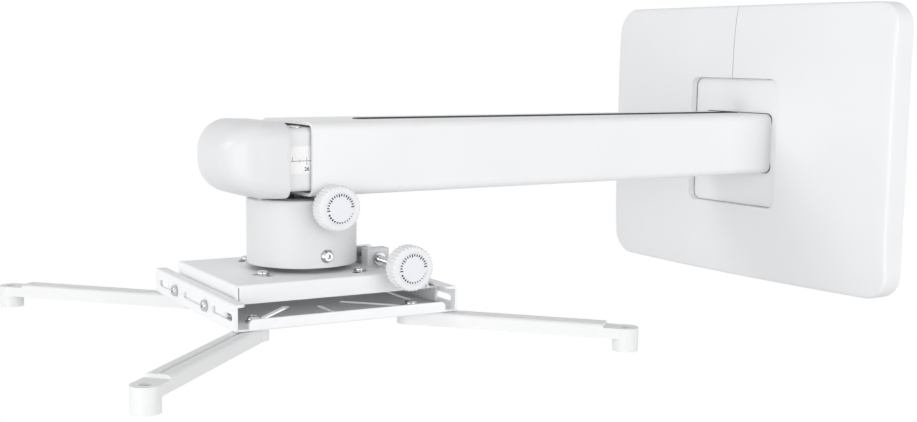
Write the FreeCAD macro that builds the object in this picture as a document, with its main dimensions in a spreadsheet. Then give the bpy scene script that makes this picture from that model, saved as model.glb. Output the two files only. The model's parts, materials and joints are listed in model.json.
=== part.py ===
"""Wall mount for a short-throw projector: covered wall plate, sliding arm, levelling head and four legs.

Frame: +Z up, the wall at +Y, the origin at the centre of the wall plate's back face. The arm runs along -Y.
All sizes are in millimetres and stand in the sheet named sizes.
"""
import FreeCAD, Part
import Sketcher
import math
import os
import re

doc = FreeCAD.newDocument("projector_wall_mount")
sheet = doc.addObject("Spreadsheet::Sheet", "sizes")

SIZES = [
    # wall plate and its cover
    ("plate_sheet", 2.5, "wall plate, sheet"),
    ("plate_lip", 16.0, "wall plate, depth of the folded rim"),
    ("wall_slot_long", 34.0, "wall slots, end to end"),
    ("wall_slot_wide", 9.0, "wall slots, width"),
    ("wall_slot_apart", 300.0, "wall slots, centres across"),
    ("wall_slot_rise", 200.0, "wall slots, centres up"),
    ("cover_wide", 388.0, "cover, across"),
    ("cover_high", 281.0, "cover, up"),
    ("cover_deep", 30.0, "cover, depth"),
    ("cover_wall", 3.0, "cover, wall"),
    ("cover_corner", 24.0, "cover, corner radius seen from the front"),
    ("cover_edge", 3.0, "cover, front edge radius"),
    ("cover_fit", 0.3, "cover to wall plate, all round"),
    ("window_wide", 124.0, "window in the cover, across"),
    ("window_high", 132.0, "window in the cover, up"),
    ("window_corner", 10.0, "window, corner radius"),
    ("window_rim", 4.0, "window, rim behind the front wall"),
    ("window_sink", 5.0, "arm base face behind the cover's face"),
    ("slit_wide", 0.8, "slit that lets the cover spring over the arm"),
    ("stud_apart", 156.0, "base studs, centres across"),
    ("stud_rise", 96.0, "base studs, centres up"),
    ("stud_dia", 8.0, "base studs, diameter"),
    ("nut_flats", 13.0, "base nuts, across flats"),
    ("nut_high", 6.5, "base nuts, height"),
    ("base_wide", 186.0, "arm base foot, across"),
    ("base_sheet", 5.0, "arm base, plate"),
    ("base_gap", 0.8, "arm base to window, all round"),
    # arm tube and slide
    ("tube_long", 521.0, "arm tube, length"),
    ("tube_wide", 95.0, "arm tube, across"),
    ("tube_high", 60.0, "arm tube, up"),
    ("tube_wall", 2.5, "arm tube, wall"),
    ("tube_corner", 7.0, "arm tube, corner radius"),
    ("cable_slot_wide", 14.0, "cable slot in the tube's top, width"),
    ("cable_slot_front", 63.0, "cable slot, distance from the mouth"),
    ("cable_slot_back", 3.0, "cable slot, distance from the arm base"),
    ("grub_back", 26.0, "grub screws, distance from the mouth"),
    ("grub_dia", 6.0, "grub screws, diameter"),
    ("grub_sink", 0.4, "grub screws below the tube's top"),
    ("slide_gap", 2.0, "slide to tube, all round"),
    ("slide_wall", 2.0, "slide, wall"),
    ("slide_corner", 4.5, "slide, corner radius"),
    ("slide_show", 19.0, "slide showing between tube and hood at rest"),
    ("slide_long", 466.0, "slide, length"),
    ("glide_thick", 1.7, "glides, thickness"),
    ("glide_long", 40.0, "glides, length along the arm"),
    ("glide_wide", 22.0, "glides on top and below, width"),
    ("glide_edge", 0.5, "glides from the tube's corner rounding"),
    ("glide_side", 8.0, "glides at the sides, width"),
    ("glide_in", 6.0, "glides from the tube's mouth and the slide's end"),
    ("scale_high", 22.0, "scale label, up"),
    ("scale_long", 300.0, "scale label, length"),
    ("scale_thick", 0.3, "scale label, thickness"),
    ("stop_in", 9.0, "slide stop screws from the slide's side"),
    ("stop_back", 10.0, "slide stop screws from the hood's mouth"),
    ("stop_head", 1.6, "slide stop screws, head height"),
    ("end_sheet", 4.0, "slide end plate"),
    ("weld_gap", 0.1, "slide end plate to slide, all round"),
    ("cable_hole", 16.0, "cable holes in the end plate, diameter"),
    ("cable_hole_in", 16.0, "cable holes in the end plate from the slide's side"),
    # hood
    ("hood_long", 51.0, "hood, length"),
    ("hood_nose", 34.0, "hood, nose radius seen from above"),
    ("hood_edge", 16.0, "hood, long edge radius"),
    ("hood_wall", 2.5, "hood, wall"),
    ("hood_grip", 4.0, "slide end inside the hood"),
    ("hood_fit", 0.2, "hood ribs to slide"),
    ("hood_rib", 8.0, "hood ribs, width"),
    # neck and roll
    ("neck_back", 14.0, "neck axis behind the tube's mouth"),
    ("neck_dia", 92.0, "neck, diameter"),
    ("neck_wall", 3.5, "neck, wall"),
    ("neck_top", 33.5, "neck top below the arm's axis"),
    ("neck_low", 88.3, "neck rim below the arm's axis"),
    ("neck_roof", 9.0, "neck, top wall"),
    ("neck_edge", 2.0, "neck, top edge radius"),
    ("roof_gap", 7.0, "opening in the neck's top to the roll anchor"),
    ("lug_wide", 26.0, "roll lug, across"),
    ("lug_thick", 6.0, "roll lug, thickness"),
    ("lug_gap", 0.8, "roll lug to slide end"),
    ("lug_play", 3.5, "hood's notch to the roll lug, each side"),
    ("roll_bolt_dia", 10.0, "roll bolt, diameter"),
    ("roll_hex", 16.0, "roll bolt head and nut, across flats"),
    ("roll_hex_high", 6.4, "roll bolt head and nut, height"),
    ("bush_wall", 2.0, "roll bush, wall"),
    ("run_fit", 0.05, "running fit, on the radius"),
    ("anchor_sheet", 4.0, "roll anchor, strap"),
    ("anchor_wide", 22.0, "roll anchor, across"),
    ("anchor_apart", 12.0, "roll anchor screws, centres across"),
    ("anchor_in", 7.0, "roll anchor screws from the slide's end"),
    ("anchor_drop", 16.0, "roll anchor floor below the neck top"),
    ("anchor_clear", 3.0, "roll anchor to the tube's mouth"),
    ("ear_play", 1.3, "adjusting screw to ear, on the radius"),
    ("ear_edge", 3.0, "ears beyond the screw's hole"),
    ("roll_ear", 6.0, "roll anchor's ear, thickness"),
    ("roll_screw_low", 38.3, "roll screw below the arm's axis"),
    ("roll_screw_back", 1.5, "roll screw behind the neck axis"),
    ("screw_dia", 6.0, "adjusting screws, diameter"),
    ("screw_past", 12.0, "adjusting screws past the axis that they turn"),
    ("screw_grip", 8.0, "adjusting screws inside the knobs"),
    ("knob_dia", 37.0, "knobs, diameter"),
    ("knob_thick", 14.0, "knobs, thickness"),
    ("knob_bevel", 1.5, "knobs, front edge bevel"),
    ("knob_cap_dia", 26.0, "knob caps, diameter"),
    ("knob_cap_thick", 1.2, "knob caps, thickness"),
    ("knob_cap_sink", 1.0, "knob caps, sunk into the knob"),
    ("flute_radius", 1.5, "knob flutes, radius"),
    ("flute_deep", 0.7, "knob flutes, depth"),
    ("roll_knob_face", 66.0, "roll knob face from the arm's axis"),
    ("collar_dia", 11.0, "screw collars, diameter"),
    ("collar_thick", 3.0, "screw collars, thickness"),
    ("seat_gap", 0.3, "gap between pieces that move on each other"),
    # turret and pitch
    ("pitch_low", 79.0, "pitch axis below the arm's axis"),
    ("bar_dia", 18.0, "turret cross bar, diameter"),
    ("bar_gap", 1.8, "turret cross bar to the neck's inside"),
    ("boss_dia", 40.0, "turret boss, diameter"),
    ("boss_up", 2.0, "turret boss above the cross bar"),
    ("turret_flange_dia", 124.0, "turret flange, diameter"),
    ("turret_flange", 4.5, "turret flange, thickness"),
    ("button_dia", 10.5, "button head, diameter"),
    ("button_high", 3.3, "button head, height"),
    ("button_rim", 1.2, "button head, straight rim"),
    ("button_socket", 4.0, "button head, socket across flats"),
    ("button_in", 14.0, "pitch bolt in the cross bar"),
    ("spot_deep", 0.8, "spot face on the neck, depth"),
    ("clamp_ring", 114.0, "yaw clamp screws, pitch circle"),
    ("clamp_turn", 30.0, "yaw clamp screws, angle of the first"),
    ("clamp_washer", 1.0, "yaw clamp washers, thickness"),
    ("pan_dia", 9.6, "pan head, diameter"),
    ("pan_high", 3.6, "pan head, height"),
    ("pan_rim", 2.0, "pan head, straight rim"),
    ("pan_top", 6.4, "pan head, flat top diameter"),
    ("pan_cross", 5.0, "cross recess, across"),
    ("cross_wide", 1.2, "cross recess, width"),
    ("cross_deep", 2.0, "cross recess, depth"),
    ("pan_shank", 5.0, "pan head screws, diameter"),
    ("yaw_reach", 7.0, "yaw slots, play each way on the pitch circle"),
    ("yaw_slot_play", 0.7, "yaw slots to clamp screws, each side"),
    # head plate
    ("head_turn", 3.2, "head turned clockwise from above, degrees"),
    ("rim_gap", 4.7, "neck rim to head plate"),
    ("head_long", 137.0, "head plate, across the arm"),
    ("head_wide", 169.0, "head plate, along the arm"),
    ("head_high", 15.0, "head plate, folded depth"),
    ("head_sheet", 2.0, "head plate and tray, sheet"),
    ("bend", 1.8, "head plate and tray, outer bend radius"),
    ("rail_corner", 5.0, "rail flange, corner radius at its ends"),
    ("corner_slit", 1.0, "head plate, slit at each corner"),
    ("lip_high", 11.0, "head plate, lip below the tongue"),
    ("yaw_screw_back", 57.0, "yaw screw behind the neck axis"),
    ("yaw_screw_up", 6.6, "yaw screw above the head plate"),
    ("block_long", 12.0, "yaw block, across the arm"),
    ("block_wide", 20.0, "yaw block, along the arm"),
    ("block_high", 15.0, "yaw block, up"),
    ("block_out", 18.0, "yaw block from the neck axis"),
    ("yaw_knob_face", 93.0, "yaw knob face from the neck axis"),
    ("yaw_ear", 8.0, "yaw ear, thickness"),
    # tray and rails
    ("tray_long", 194.0, "tray, across the arm"),
    ("tray_wide", 191.2, "tray over the rails, along the arm"),
    ("rail_high", 21.0, "rails, up"),
    ("rail_flange", 9.0, "rails, top flange"),
    ("tray_drop", 30.5, "tray underside below the head plate"),
    ("tray_edge", 9.0, "tray end flange, up"),
    ("tray_edge_long", 169.0, "tray end flange, along the arm"),
    ("tray_edge_corner", 4.0, "tray end flange, corner radius"),
    ("rail_slot_play", 0.3, "rail slots to rail screws, each side"),
    ("rail_screw_low", 20.5, "rail screws below the head plate"),
    ("rail_screw_far", 42.0, "far rail screws from the neck axis"),
    ("rail_screw_near", 31.5, "near rail screws from the neck axis"),
    ("rail_nut_flats", 8.0, "rail nuts, across flats"),
    ("rail_nut_high", 4.0, "rail nuts, height"),
    ("rail_travel", 40.0, "tray travel on the rail screws"),
    ("rail_spare_slot", 44.0, "spare slot in each rail, end to end"),
    ("rail_spare_gap", 11.7, "spare slot from the slot beside it"),
    ("tie_slot", 3.8, "cable tie slots, width"),
    ("tie_slot_long", 46.0, "cable tie slots, end to end"),
    ("tie_slot_in", 34.0, "middle cable tie slots from the neck axis"),
    ("tie_slot_side", 80.0, "side cable tie slots from the neck axis"),
    # legs
    ("leg_slot_in", 34.0, "leg slot, inner end from the neck axis"),
    ("leg_slot_out", 112.0, "leg slot, outer end from the neck axis"),
    ("leg_slot_play", 0.3, "leg slot to leg bolt, each side"),
    ("leg_bolt_front", 104.0, "front leg bolts from the neck axis"),
    ("leg_bolt_back", 97.0, "back leg bolts from the neck axis"),
    ("leg_bolt_dia", 6.0, "leg bolts, diameter"),
    ("leg_angle", 44.0, "leg slots, angle from across the arm"),
    ("washer_dia", 14.0, "leg washers, diameter"),
    ("washer_thick", 1.2, "leg washers, thickness"),
    ("leg_head_dia", 11.5, "leg bolt head, diameter"),
    ("leg_head_high", 4.0, "leg bolt head, height"),
    ("leg_long", 178.0, "leg, bolt to foot hole"),
    ("leg_high", 11.0, "leg bar, up"),
    ("leg_wide", 19.6, "leg bar, width"),
    ("leg_edge", 3.0, "leg bar, top edge radius"),
    ("leg_skin", 1.5, "leg eye below the bolt's hole"),
    ("leg_eye_dia", 23.0, "leg eye, diameter"),
    ("leg_groove_wide", 3.0, "groove along the leg's top, width"),
    ("leg_groove_deep", 1.8, "groove along the leg's top, depth"),
    ("leg_groove_in", 20.0, "groove from the leg's bolt and foot hole"),
    ("foot_dia", 20.4, "leg foot, diameter"),
    ("foot_high", 18.5, "leg foot, up"),
    ("foot_step", 2.8, "leg foot's top below the bar's top"),
    ("foot_pad", 16.5, "step in the leg's top from the foot hole"),
    ("foot_bore", 5.3, "leg foot, bore"),
    ("foot_sink", 9.5, "leg foot, counterbore"),
    ("foot_sink_deep", 8.0, "leg foot, counterbore depth"),
]
NAMES = [name for name, value, note in SIZES]
for row, (name, value, note) in enumerate(SIZES, start=1):
    sheet.set(f"A{row}", note)
    sheet.set(f"B{row}", str(value))
    sheet.setAlias(f"B{row}", name)
doc.recompute()

# Places worked out from the sizes, as distances from the wall or below the arm's axis
SEAT = "(cover_deep - window_sink)"
MOUTH = f"({SEAT} + tube_long)"
HOOD_MOUTH = f"({MOUTH} + slide_show)"
SLIDE_END = f"({HOOD_MOUTH} + hood_grip)"
SLIDE_BACK = f"({SLIDE_END} - slide_long)"
LUG_NEAR = f"({SLIDE_END} + lug_gap)"
LUG_FAR = f"({LUG_NEAR} + lug_thick)"
NECK_Y = f"({MOUTH} - neck_back)"
SLIDE_X = "(tube_wide / 2 - tube_wall - slide_gap)"
SLIDE_Z = "(tube_high / 2 - tube_wall - slide_gap)"
TUBE_X = "(tube_wide / 2 - tube_wall)"
TUBE_Z = "(tube_high / 2 - tube_wall)"
GLIDE_X = "(tube_wide / 2 - tube_corner - glide_edge - glide_wide / 2)"
STOP_X = f"({SLIDE_X} - stop_in)"
ROLL_SCREW_Y = f"({NECK_Y} - roll_screw_back)"
NECK_IN = "(neck_dia / 2 - neck_wall)"
BAR_END = f"({NECK_IN} - bar_gap)"
SPOT = "(neck_dia / 2 - spot_deep)"
HEAD_TOP = "(neck_low + rim_gap)"
FLANGE_TOP = f"({HEAD_TOP} + head_sheet + seat_gap)"
YAW_SCREW_Z = f"({HEAD_TOP} - yaw_screw_up)"
LIP_Y = "(tray_wide / 2 - head_sheet - seat_gap)"
TRAY_LOW = f"({HEAD_TOP} + tray_drop)"
TRAY_FLOOR = f"({TRAY_LOW} - head_sheet)"
RAIL_SCREW_Z = f"({HEAD_TOP} + rail_screw_low)"
LEG_TOP = f"({TRAY_LOW} + seat_gap)"

X_AXIS = FreeCAD.Rotation(FreeCAD.Vector(0, 1, 0), 90)
X_BACK = FreeCAD.Rotation(FreeCAD.Vector(0, 1, 0), -90)
Y_AXIS = FreeCAD.Rotation(FreeCAD.Vector(1, 0, 0), -90)
Y_BACK = FreeCAD.Rotation(FreeCAD.Vector(1, 0, 0), 90)
Z_AXIS = FreeCAD.Rotation()
CLOCKWISE = FreeCAD.Vector(0, 0, -1)
Z_BACK = FreeCAD.Rotation(FreeCAD.Vector(1, 0, 0), 180)
SAME = 0.001
FLUTES = 34
CLAMPS = 4
BOTH = (-1, 1)
CORNERS = [(x, y) for x in BOTH for y in BOTH]
LEGS = {"front_right": (1, -1), "front_left": (-1, -1), "back_right": (1, 1), "back_left": (-1, 1)}

NODES = []


def words(text):
    """An expression with the sheet's name put before each size."""
    return re.sub(r"[a-z_]+", lambda m: "sizes." + m.group() if m.group() in NAMES else m.group(), str(text))


def size(text):
    """The present value of an expression in the sheet's sizes."""
    return float(sheet.evalExpression(words(text)))


def bind(item, **places):
    """Bind properties of an object to expressions in the sheet's sizes."""
    for place, text in places.items():
        item.setExpression(place, words(text))


def put(item, where, turn=Z_AXIS):
    """Place an object at three expressions, with a fixed turn."""
    item.Placement = FreeCAD.Placement(FreeCAD.Vector(), turn)
    for axis, text in zip("xyz", where):
        item.setExpression(f".Placement.Base.{axis}", words(text))


def piece(label):
    """A new body for one node."""
    body = doc.addObject("PartDesign::Body", label)
    body.Label = label
    body.AllowCompound = True
    NODES.append(body)
    return body


def neck_piece(label):
    """A piece whose own origin is on the neck's axis."""
    body = piece(label)
    put(body, (0, f"-{NECK_Y}", 0))
    return body


def head_piece(label):
    """A piece on the neck's axis that takes the head's turn."""
    body = piece(label)
    put(body, (0, f"-{NECK_Y}", 0), FreeCAD.Rotation(CLOCKWISE, size("head_turn")))
    body.setExpression(".Placement.Rotation.Angle", words("head_turn"))
    return body


def on_head(label, where, turn):
    """A piece with an origin of its own, placed and turned within the head."""
    body = piece(label)
    head = FreeCAD.Placement(FreeCAD.Vector(0, -size(NECK_Y), 0),
                             FreeCAD.Rotation(CLOCKWISE, size("head_turn")))
    body.Placement = head.multiply(FreeCAD.Placement(FreeCAD.Vector(*[size(text) for text in where]), turn))
    return body


def block(body, low, spans, cut=False):
    """A box from its low corner."""
    item = body.newObject("PartDesign::SubtractiveBox" if cut else "PartDesign::AdditiveBox", "block")
    bind(item, Length=spans[0], Width=spans[1], Height=spans[2])
    put(item, low)
    return item


def rod(body, start, turn, radius, long, cut=False):
    """A cylinder from the centre of its first end."""
    item = body.newObject("PartDesign::SubtractiveCylinder" if cut else "PartDesign::AdditiveCylinder", "rod")
    bind(item, Radius=radius, Height=long)
    put(item, start, turn)
    return item


def cone(body, start, turn, radius, end_radius, long):
    """A cone from the centre of its first end."""
    item = body.newObject("PartDesign::AdditiveCone", "cone")
    bind(item, Radius1=radius, Radius2=end_radius, Height=long)
    put(item, start, turn)
    return item


def hexagon(body, start, turn, flats, long, cut=False):
    """A hexagonal prism, such as a nut or a socket, from the centre of its first end."""
    item = body.newObject("PartDesign::SubtractivePrism" if cut else "PartDesign::AdditivePrism", "hexagon")
    item.Polygon = 6
    bind(item, Circumradius=f"{flats} / sqrt(3)", Height=long)
    put(item, start, turn)
    return item


def origin(body, role):
    """One of a body's own origin planes or axes."""
    return next(item for item in body.Origin.OriginFeatures if item.Role == role)


def sketch(body, role, offset, turn=None):
    """An empty sketch on an origin plane, moved along the plane's normal and turned about it."""
    item = body.newObject("Sketcher::SketchObject", "outline")
    item.AttachmentSupport = [(origin(body, role), "")]
    item.MapMode = "FlatFace"
    if turn is not None:
        item.AttachmentOffset = FreeCAD.Placement(FreeCAD.Vector(), FreeCAD.Rotation(size(turn), 0, 0))
    item.setExpression(".AttachmentOffset.Base.z", words(offset))
    return item


def dimension(outline, name, constraint, text):
    """Add a named dimension to a sketch and bind it."""
    outline.renameConstraint(outline.addConstraint(constraint), name)
    outline.setExpression(f"Constraints.{name}", words(text))


def rounded(outline, left, low, wide, high, radius):
    """Draw a rounded rectangle, held by its low left corner, two spans and its corner radius."""
    x, y, w, h, r = [size(text) for text in (left, low, wide, high, radius)]
    ends = [((x + r, y), (x + w - r, y)), ((x + w, y + r), (x + w, y + h - r)),
            ((x + w - r, y + h), (x + r, y + h)), ((x, y + h - r), (x, y + r))]
    centres = [(x + w - r, y + r), (x + w - r, y + h - r), (x + r, y + h - r), (x + r, y + r)]
    for a, b in ends:
        outline.addGeometry(Part.LineSegment(FreeCAD.Vector(*a, 0), FreeCAD.Vector(*b, 0)), False)
    for k, centre in enumerate(centres):
        circle = Part.Circle(FreeCAD.Vector(*centre, 0), FreeCAD.Vector(0, 0, 1), r)
        outline.addGeometry(Part.ArcOfCircle(circle, (k - 1) * math.pi / 2, k * math.pi / 2), False)
    for k in range(4):
        outline.addConstraint(Sketcher.Constraint("Tangent", k, 2, 4 + k, 1))
        outline.addConstraint(Sketcher.Constraint("Tangent", 4 + k, 2, (k + 1) % 4, 1))
        outline.addConstraint(Sketcher.Constraint("Vertical" if k % 2 else "Horizontal", k))
    for k in range(3):
        outline.addConstraint(Sketcher.Constraint("Equal", 4 + k, 5 + k))
    dimension(outline, "corner", Sketcher.Constraint("Radius", 4, r), radius)
    dimension(outline, "wide", Sketcher.Constraint("DistanceX", 3, 1, 1, 1, w), wide)
    dimension(outline, "high", Sketcher.Constraint("DistanceY", 0, 1, 2, 1, h), high)
    dimension(outline, "left", Sketcher.Constraint("DistanceX", -1, 1, 3, 1, x), left)
    dimension(outline, "low", Sketcher.Constraint("DistanceY", -1, 1, 0, 1, y), low)


def obround(outline, start, end, level, wide):
    """Draw a slot with round ends along the sketch's X, from end to end at one level."""
    r = size(wide) / 2
    a, b, y = size(start) + r, size(end) - r, size(level)
    for x, low_angle in ((a, math.pi / 2), (b, -math.pi / 2)):
        circle = Part.Circle(FreeCAD.Vector(x, y, 0), FreeCAD.Vector(0, 0, 1), r)
        outline.addGeometry(Part.ArcOfCircle(circle, low_angle, low_angle + math.pi), False)
    outline.addGeometry(Part.LineSegment(FreeCAD.Vector(a, y - r, 0), FreeCAD.Vector(b, y - r, 0)), False)
    outline.addGeometry(Part.LineSegment(FreeCAD.Vector(b, y + r, 0), FreeCAD.Vector(a, y + r, 0)), False)
    for first, second in ((0, 2), (2, 1), (1, 3), (3, 0)):
        outline.addConstraint(Sketcher.Constraint("Tangent", first, 2, second, 1))
    outline.addConstraint(Sketcher.Constraint("Horizontal", 2))
    outline.addConstraint(Sketcher.Constraint("Equal", 0, 1))
    dimension(outline, "radius", Sketcher.Constraint("Radius", 0, r), f"({wide}) / 2")
    dimension(outline, "start", Sketcher.Constraint("DistanceX", -1, 1, 0, 3, a), f"({start}) + ({wide}) / 2")
    dimension(outline, "end", Sketcher.Constraint("DistanceX", -1, 1, 1, 3, b), f"({end}) - ({wide}) / 2")
    dimension(outline, "level", Sketcher.Constraint("DistanceY", -1, 1, 0, 3, y), level)


def pad(body, outline, long):
    """Raise a sketch along its plane's normal."""
    item = body.newObject("PartDesign::Pad", "pad")
    item.Profile = outline
    bind(item, Length=long)
    return item


def pocket(body, outline, long, both=False):
    """Sink a sketch along its plane's normal, or to both sides of it."""
    item = body.newObject("PartDesign::Pocket", "pocket")
    item.Profile = outline
    item.Reversed = True
    item.Midplane = both
    bind(item, Length=long)
    doc.recompute()
    if item.Shape.Volume >= item.BaseFeature.Shape.Volume:
        raise RuntimeError(f"a pocket in {body.Label} cuts nothing")
    return item


def tube_section(body, offset, long, half_x, half_z, radius, cut=False):
    """A rounded bar along -Y about the arm's axis, added or cut."""
    outline = sketch(body, "XZ_Plane", offset)
    rounded(outline, f"-{half_x}", f"-{half_z}", f"2 * {half_x}", f"2 * {half_z}", radius)
    return pocket(body, outline, long) if cut else pad(body, outline, long)


def soften(body, base, radius, choose):
    """Round the edges of a feature that a test on their middle points picks."""
    doc.recompute()
    edges = [f"Edge{k}" for k, edge in enumerate(base.Shape.Edges, start=1) if choose(edge)]
    item = body.newObject("PartDesign::Fillet", "fillet")
    item.Base = (base, edges)
    bind(item, Radius=radius)
    return item


def middle(edge):
    """The point halfway along an edge."""
    return edge.valueAt((edge.FirstParameter + edge.LastParameter) / 2)


def at(value, level):
    """Whether a coordinate lies at a level."""
    return abs(value - level) < SAME


def pan_screw(body, start, turn, long, into):
    """A pan head cross screw: start is the middle of the seat under the head, turn points out of the head."""
    x, y, z = start
    back = FreeCAD.Placement(FreeCAD.Vector(), turn).multVec(FreeCAD.Vector(0, 0, 1))
    along = lambda far: [f"({text}) + ({far}) * {round(step)}" for text, step in zip((x, y, z), back)]
    rod(body, along(f"-({long})"), turn, f"{into} / 2", long)
    rod(body, start, turn, "pan_dia / 2", "pan_rim")
    cone(body, along("pan_rim"), turn, "pan_dia / 2", "pan_top / 2", "pan_high - pan_rim")
    cross(body, along("pan_high - cross_deep"), turn)


def cross(body, start, turn):
    """A cross recess that opens along the turn's own Z."""
    for wide, high in (("pan_cross", "cross_wide"), ("cross_wide", "pan_cross")):
        item = body.newObject("PartDesign::SubtractiveBox", "cross")
        bind(item, Length=wide, Width=high, Height="cross_deep")
        corner = turn.multVec(FreeCAD.Vector(-size(wide) / 2, -size(high) / 2, 0))
        put(item, [f"({text}) + {step}" for text, step in zip(start, corner)], turn)


def wall_plate():
    """The steel plate on the wall: a shallow folded tray with slots for the wall screws."""
    body = piece("wall_plate")
    half_x = "(cover_wide / 2 - cover_wall - cover_fit)"
    half_z = "(cover_high / 2 - cover_wall - cover_fit)"
    corner = "cover_corner - cover_wall - cover_fit"
    tube_section(body, 0, "plate_lip", half_x, half_z, corner)
    tube_section(body, "plate_sheet", "plate_lip", f"({half_x} - plate_sheet)", f"({half_z} - plate_sheet)",
                 f"{corner} - plate_sheet", cut=True)
    for x, z in CORNERS:
        outline = sketch(body, "XZ_Plane", 0)
        obround(outline, f"{x} * wall_slot_apart / 2 - wall_slot_long / 2",
                f"{x} * wall_slot_apart / 2 + wall_slot_long / 2", f"{z} * wall_slot_rise / 2",
                "wall_slot_wide")
        pocket(body, outline, "plate_sheet")
        stud_hole(body, x, z, 0, "plate_sheet")


def stud_hole(body, x, z, front, long):
    """A hole for one base stud, from a distance in front of the wall."""
    start = (f"{x} * stud_apart / 2", f"-({front}) - ({long})", f"{z} * stud_rise / 2")
    rod(body, start, Y_AXIS, "stud_dia / 2 + run_fit", long, cut=True)


def base_studs():
    """Four studs pressed into the wall plate, flush with its back."""
    body = piece("base_studs")
    long = "(plate_sheet + base_sheet + nut_high + stud_dia / 4)"
    for x, z in CORNERS:
        rod(body, (f"{x} * stud_apart / 2", f"-{long}", f"{z} * stud_rise / 2"), Y_AXIS, "stud_dia / 2", long)


def base_nuts():
    """Four nuts that hold the arm base on the studs."""
    body = piece("base_nuts")
    front = "plate_sheet + base_sheet"
    for x, z in CORNERS:
        start = (f"{x} * stud_apart / 2", f"-({front}) - nut_high", f"{z} * stud_rise / 2")
        hexagon(body, start, Y_AXIS, "nut_flats", "nut_high")
        stud_hole(body, x, z, front, "nut_high")


def arm_base():
    """The arm's foot: a plate on the studs with a hollow pedestal that fills the cover's window."""
    body = piece("arm_base")
    half_x = "(window_wide / 2 - base_gap)"
    half_z = "(window_high / 2 - base_gap)"
    block(body, ("-base_wide / 2", "-plate_sheet - base_sheet", f"-{half_z}"),
          ("base_wide", "base_sheet", f"2 * {half_z}"))
    tube_section(body, "plate_sheet", f"{SEAT} - plate_sheet", half_x, half_z, "window_corner - base_gap")
    tube_section(body, "plate_sheet", f"{SEAT} - plate_sheet - base_sheet", f"({half_x} - base_sheet)",
                 f"({half_z} - base_sheet)", "window_corner - base_gap", cut=True)
    for x, z in CORNERS:
        stud_hole(body, x, z, "plate_sheet", "base_sheet")


def plate_cover():
    """The moulded cover: a shallow shell with a rimmed window for the arm and a slit above it."""
    body = piece("plate_cover")
    half_x = "(cover_wide / 2)"
    half_z = "(cover_high / 2)"
    shell = tube_section(body, 0, "cover_deep", half_x, half_z, "cover_corner")
    front = -size("cover_deep")
    soften(body, shell, "cover_edge", lambda edge: at(middle(edge).y, front))
    tube_section(body, 0, "cover_deep - cover_wall", f"({half_x} - cover_wall)", f"({half_z} - cover_wall)",
                 "cover_corner - cover_wall", cut=True)
    tube_section(body, "cover_deep - cover_wall - window_rim", "window_rim", "(window_wide / 2 + cover_wall)",
                 "(window_high / 2 + cover_wall)", "window_corner + cover_wall")
    tube_section(body, "cover_deep - cover_wall - window_rim", "cover_wall + window_rim", "(window_wide / 2)",
                 "(window_high / 2)", "window_corner", cut=True)
    block(body, ("-slit_wide / 2", "-cover_deep", "window_high / 2 - slit_wide"),
          ("slit_wide", "cover_deep", "cover_high / 2"), cut=True)


def arm_tube():
    """The outer arm: a rectangular tube with a cable slot along its top and two grub screw holes."""
    body = piece("arm_tube")
    tube_section(body, SEAT, "tube_long", "(tube_wide / 2)", "(tube_high / 2)", "tube_corner")
    tube_section(body, SEAT, "tube_long", TUBE_X, TUBE_Z, "tube_corner - tube_wall", cut=True)
    outline = sketch(body, "XY_Plane", TUBE_Z, turn="90")
    obround(outline, f"-({MOUTH} - cable_slot_front)", f"-({SEAT} + cable_slot_back)", "0", "cable_slot_wide")
    pocket(body, outline, "tube_wall")
    for x in BOTH:
        rod(body, (f"{x} * {GLIDE_X}", f"-({MOUTH} - grub_back)", TUBE_Z), Z_AXIS,
            "grub_dia / 2 + run_fit", "tube_wall", cut=True)


def grub_screws():
    """Two grub screws in the tube's top that press the glides on the slide."""
    body = piece("grub_screws")
    for x in BOTH:
        place = (f"{x} * {GLIDE_X}", f"-({MOUTH} - grub_back)")
        rod(body, (*place, TUBE_Z), Z_AXIS, "grub_dia / 2", "tube_wall - grub_sink")
        hexagon(body, (*place, f"{TUBE_Z} + grub_sink"), Z_AXIS, "grub_dia / 2", "tube_wall", cut=True)


def glides(label, front, x_level, z_level):
    """Plastic pads between tube and slide, from a distance in front of the wall. Levels are inner faces."""
    body = piece(label)
    y = f"-({front})"
    for side in BOTH:
        for level in BOTH:
            low = z_level if level > 0 else f"-{z_level} - glide_thick"
            block(body, (f"{side} * {GLIDE_X} - glide_wide / 2", y, low),
                  ("glide_wide", "glide_long", "glide_thick"))
            low = x_level if side > 0 else f"-{x_level} - glide_thick"
            edge = f"{level} * (scale_high / 2 + 2 * seat_gap + glide_side / 2) - glide_side / 2"
            block(body, (low, y, edge), ("glide_thick", "glide_long", "glide_side"))


def slide_tube():
    """The inner arm that slides in the tube."""
    body = piece("slide_tube")
    tube_section(body, SLIDE_BACK, "slide_long", SLIDE_X, SLIDE_Z, "slide_corner")
    tube_section(body, SLIDE_BACK, "slide_long", f"({SLIDE_X} - slide_wall)", f"({SLIDE_Z} - slide_wall)",
                 "slide_corner - slide_wall", cut=True)
    for x in BOTH:
        rod(body, (f"{x} * {STOP_X}", f"-({HOOD_MOUTH} - stop_back)", f"{SLIDE_Z} - slide_wall"),
            Z_AXIS, "pan_shank / 2 + run_fit", "slide_wall", cut=True)
    anchor_holes(body, f"-{SLIDE_Z}", "slide_wall")


def stop_screws():
    """Two low screws in the slide's top that stop it at the tube's mouth."""
    body = piece("stop_screws")
    for x in BOTH:
        place = (f"{x} * {STOP_X}", f"-({HOOD_MOUTH} - stop_back)")
        rod(body, (*place, f"{SLIDE_Z} - 2 * slide_wall"), Z_AXIS, "pan_shank / 2", "2 * slide_wall")
        cone(body, (*place, SLIDE_Z), Z_AXIS, "pan_dia / 2", "pan_top / 2", "stop_head")
        hexagon(body, (*place, f"{SLIDE_Z} + stop_head / 2"), Z_AXIS, "grub_dia / 2", "stop_head", cut=True)


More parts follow.
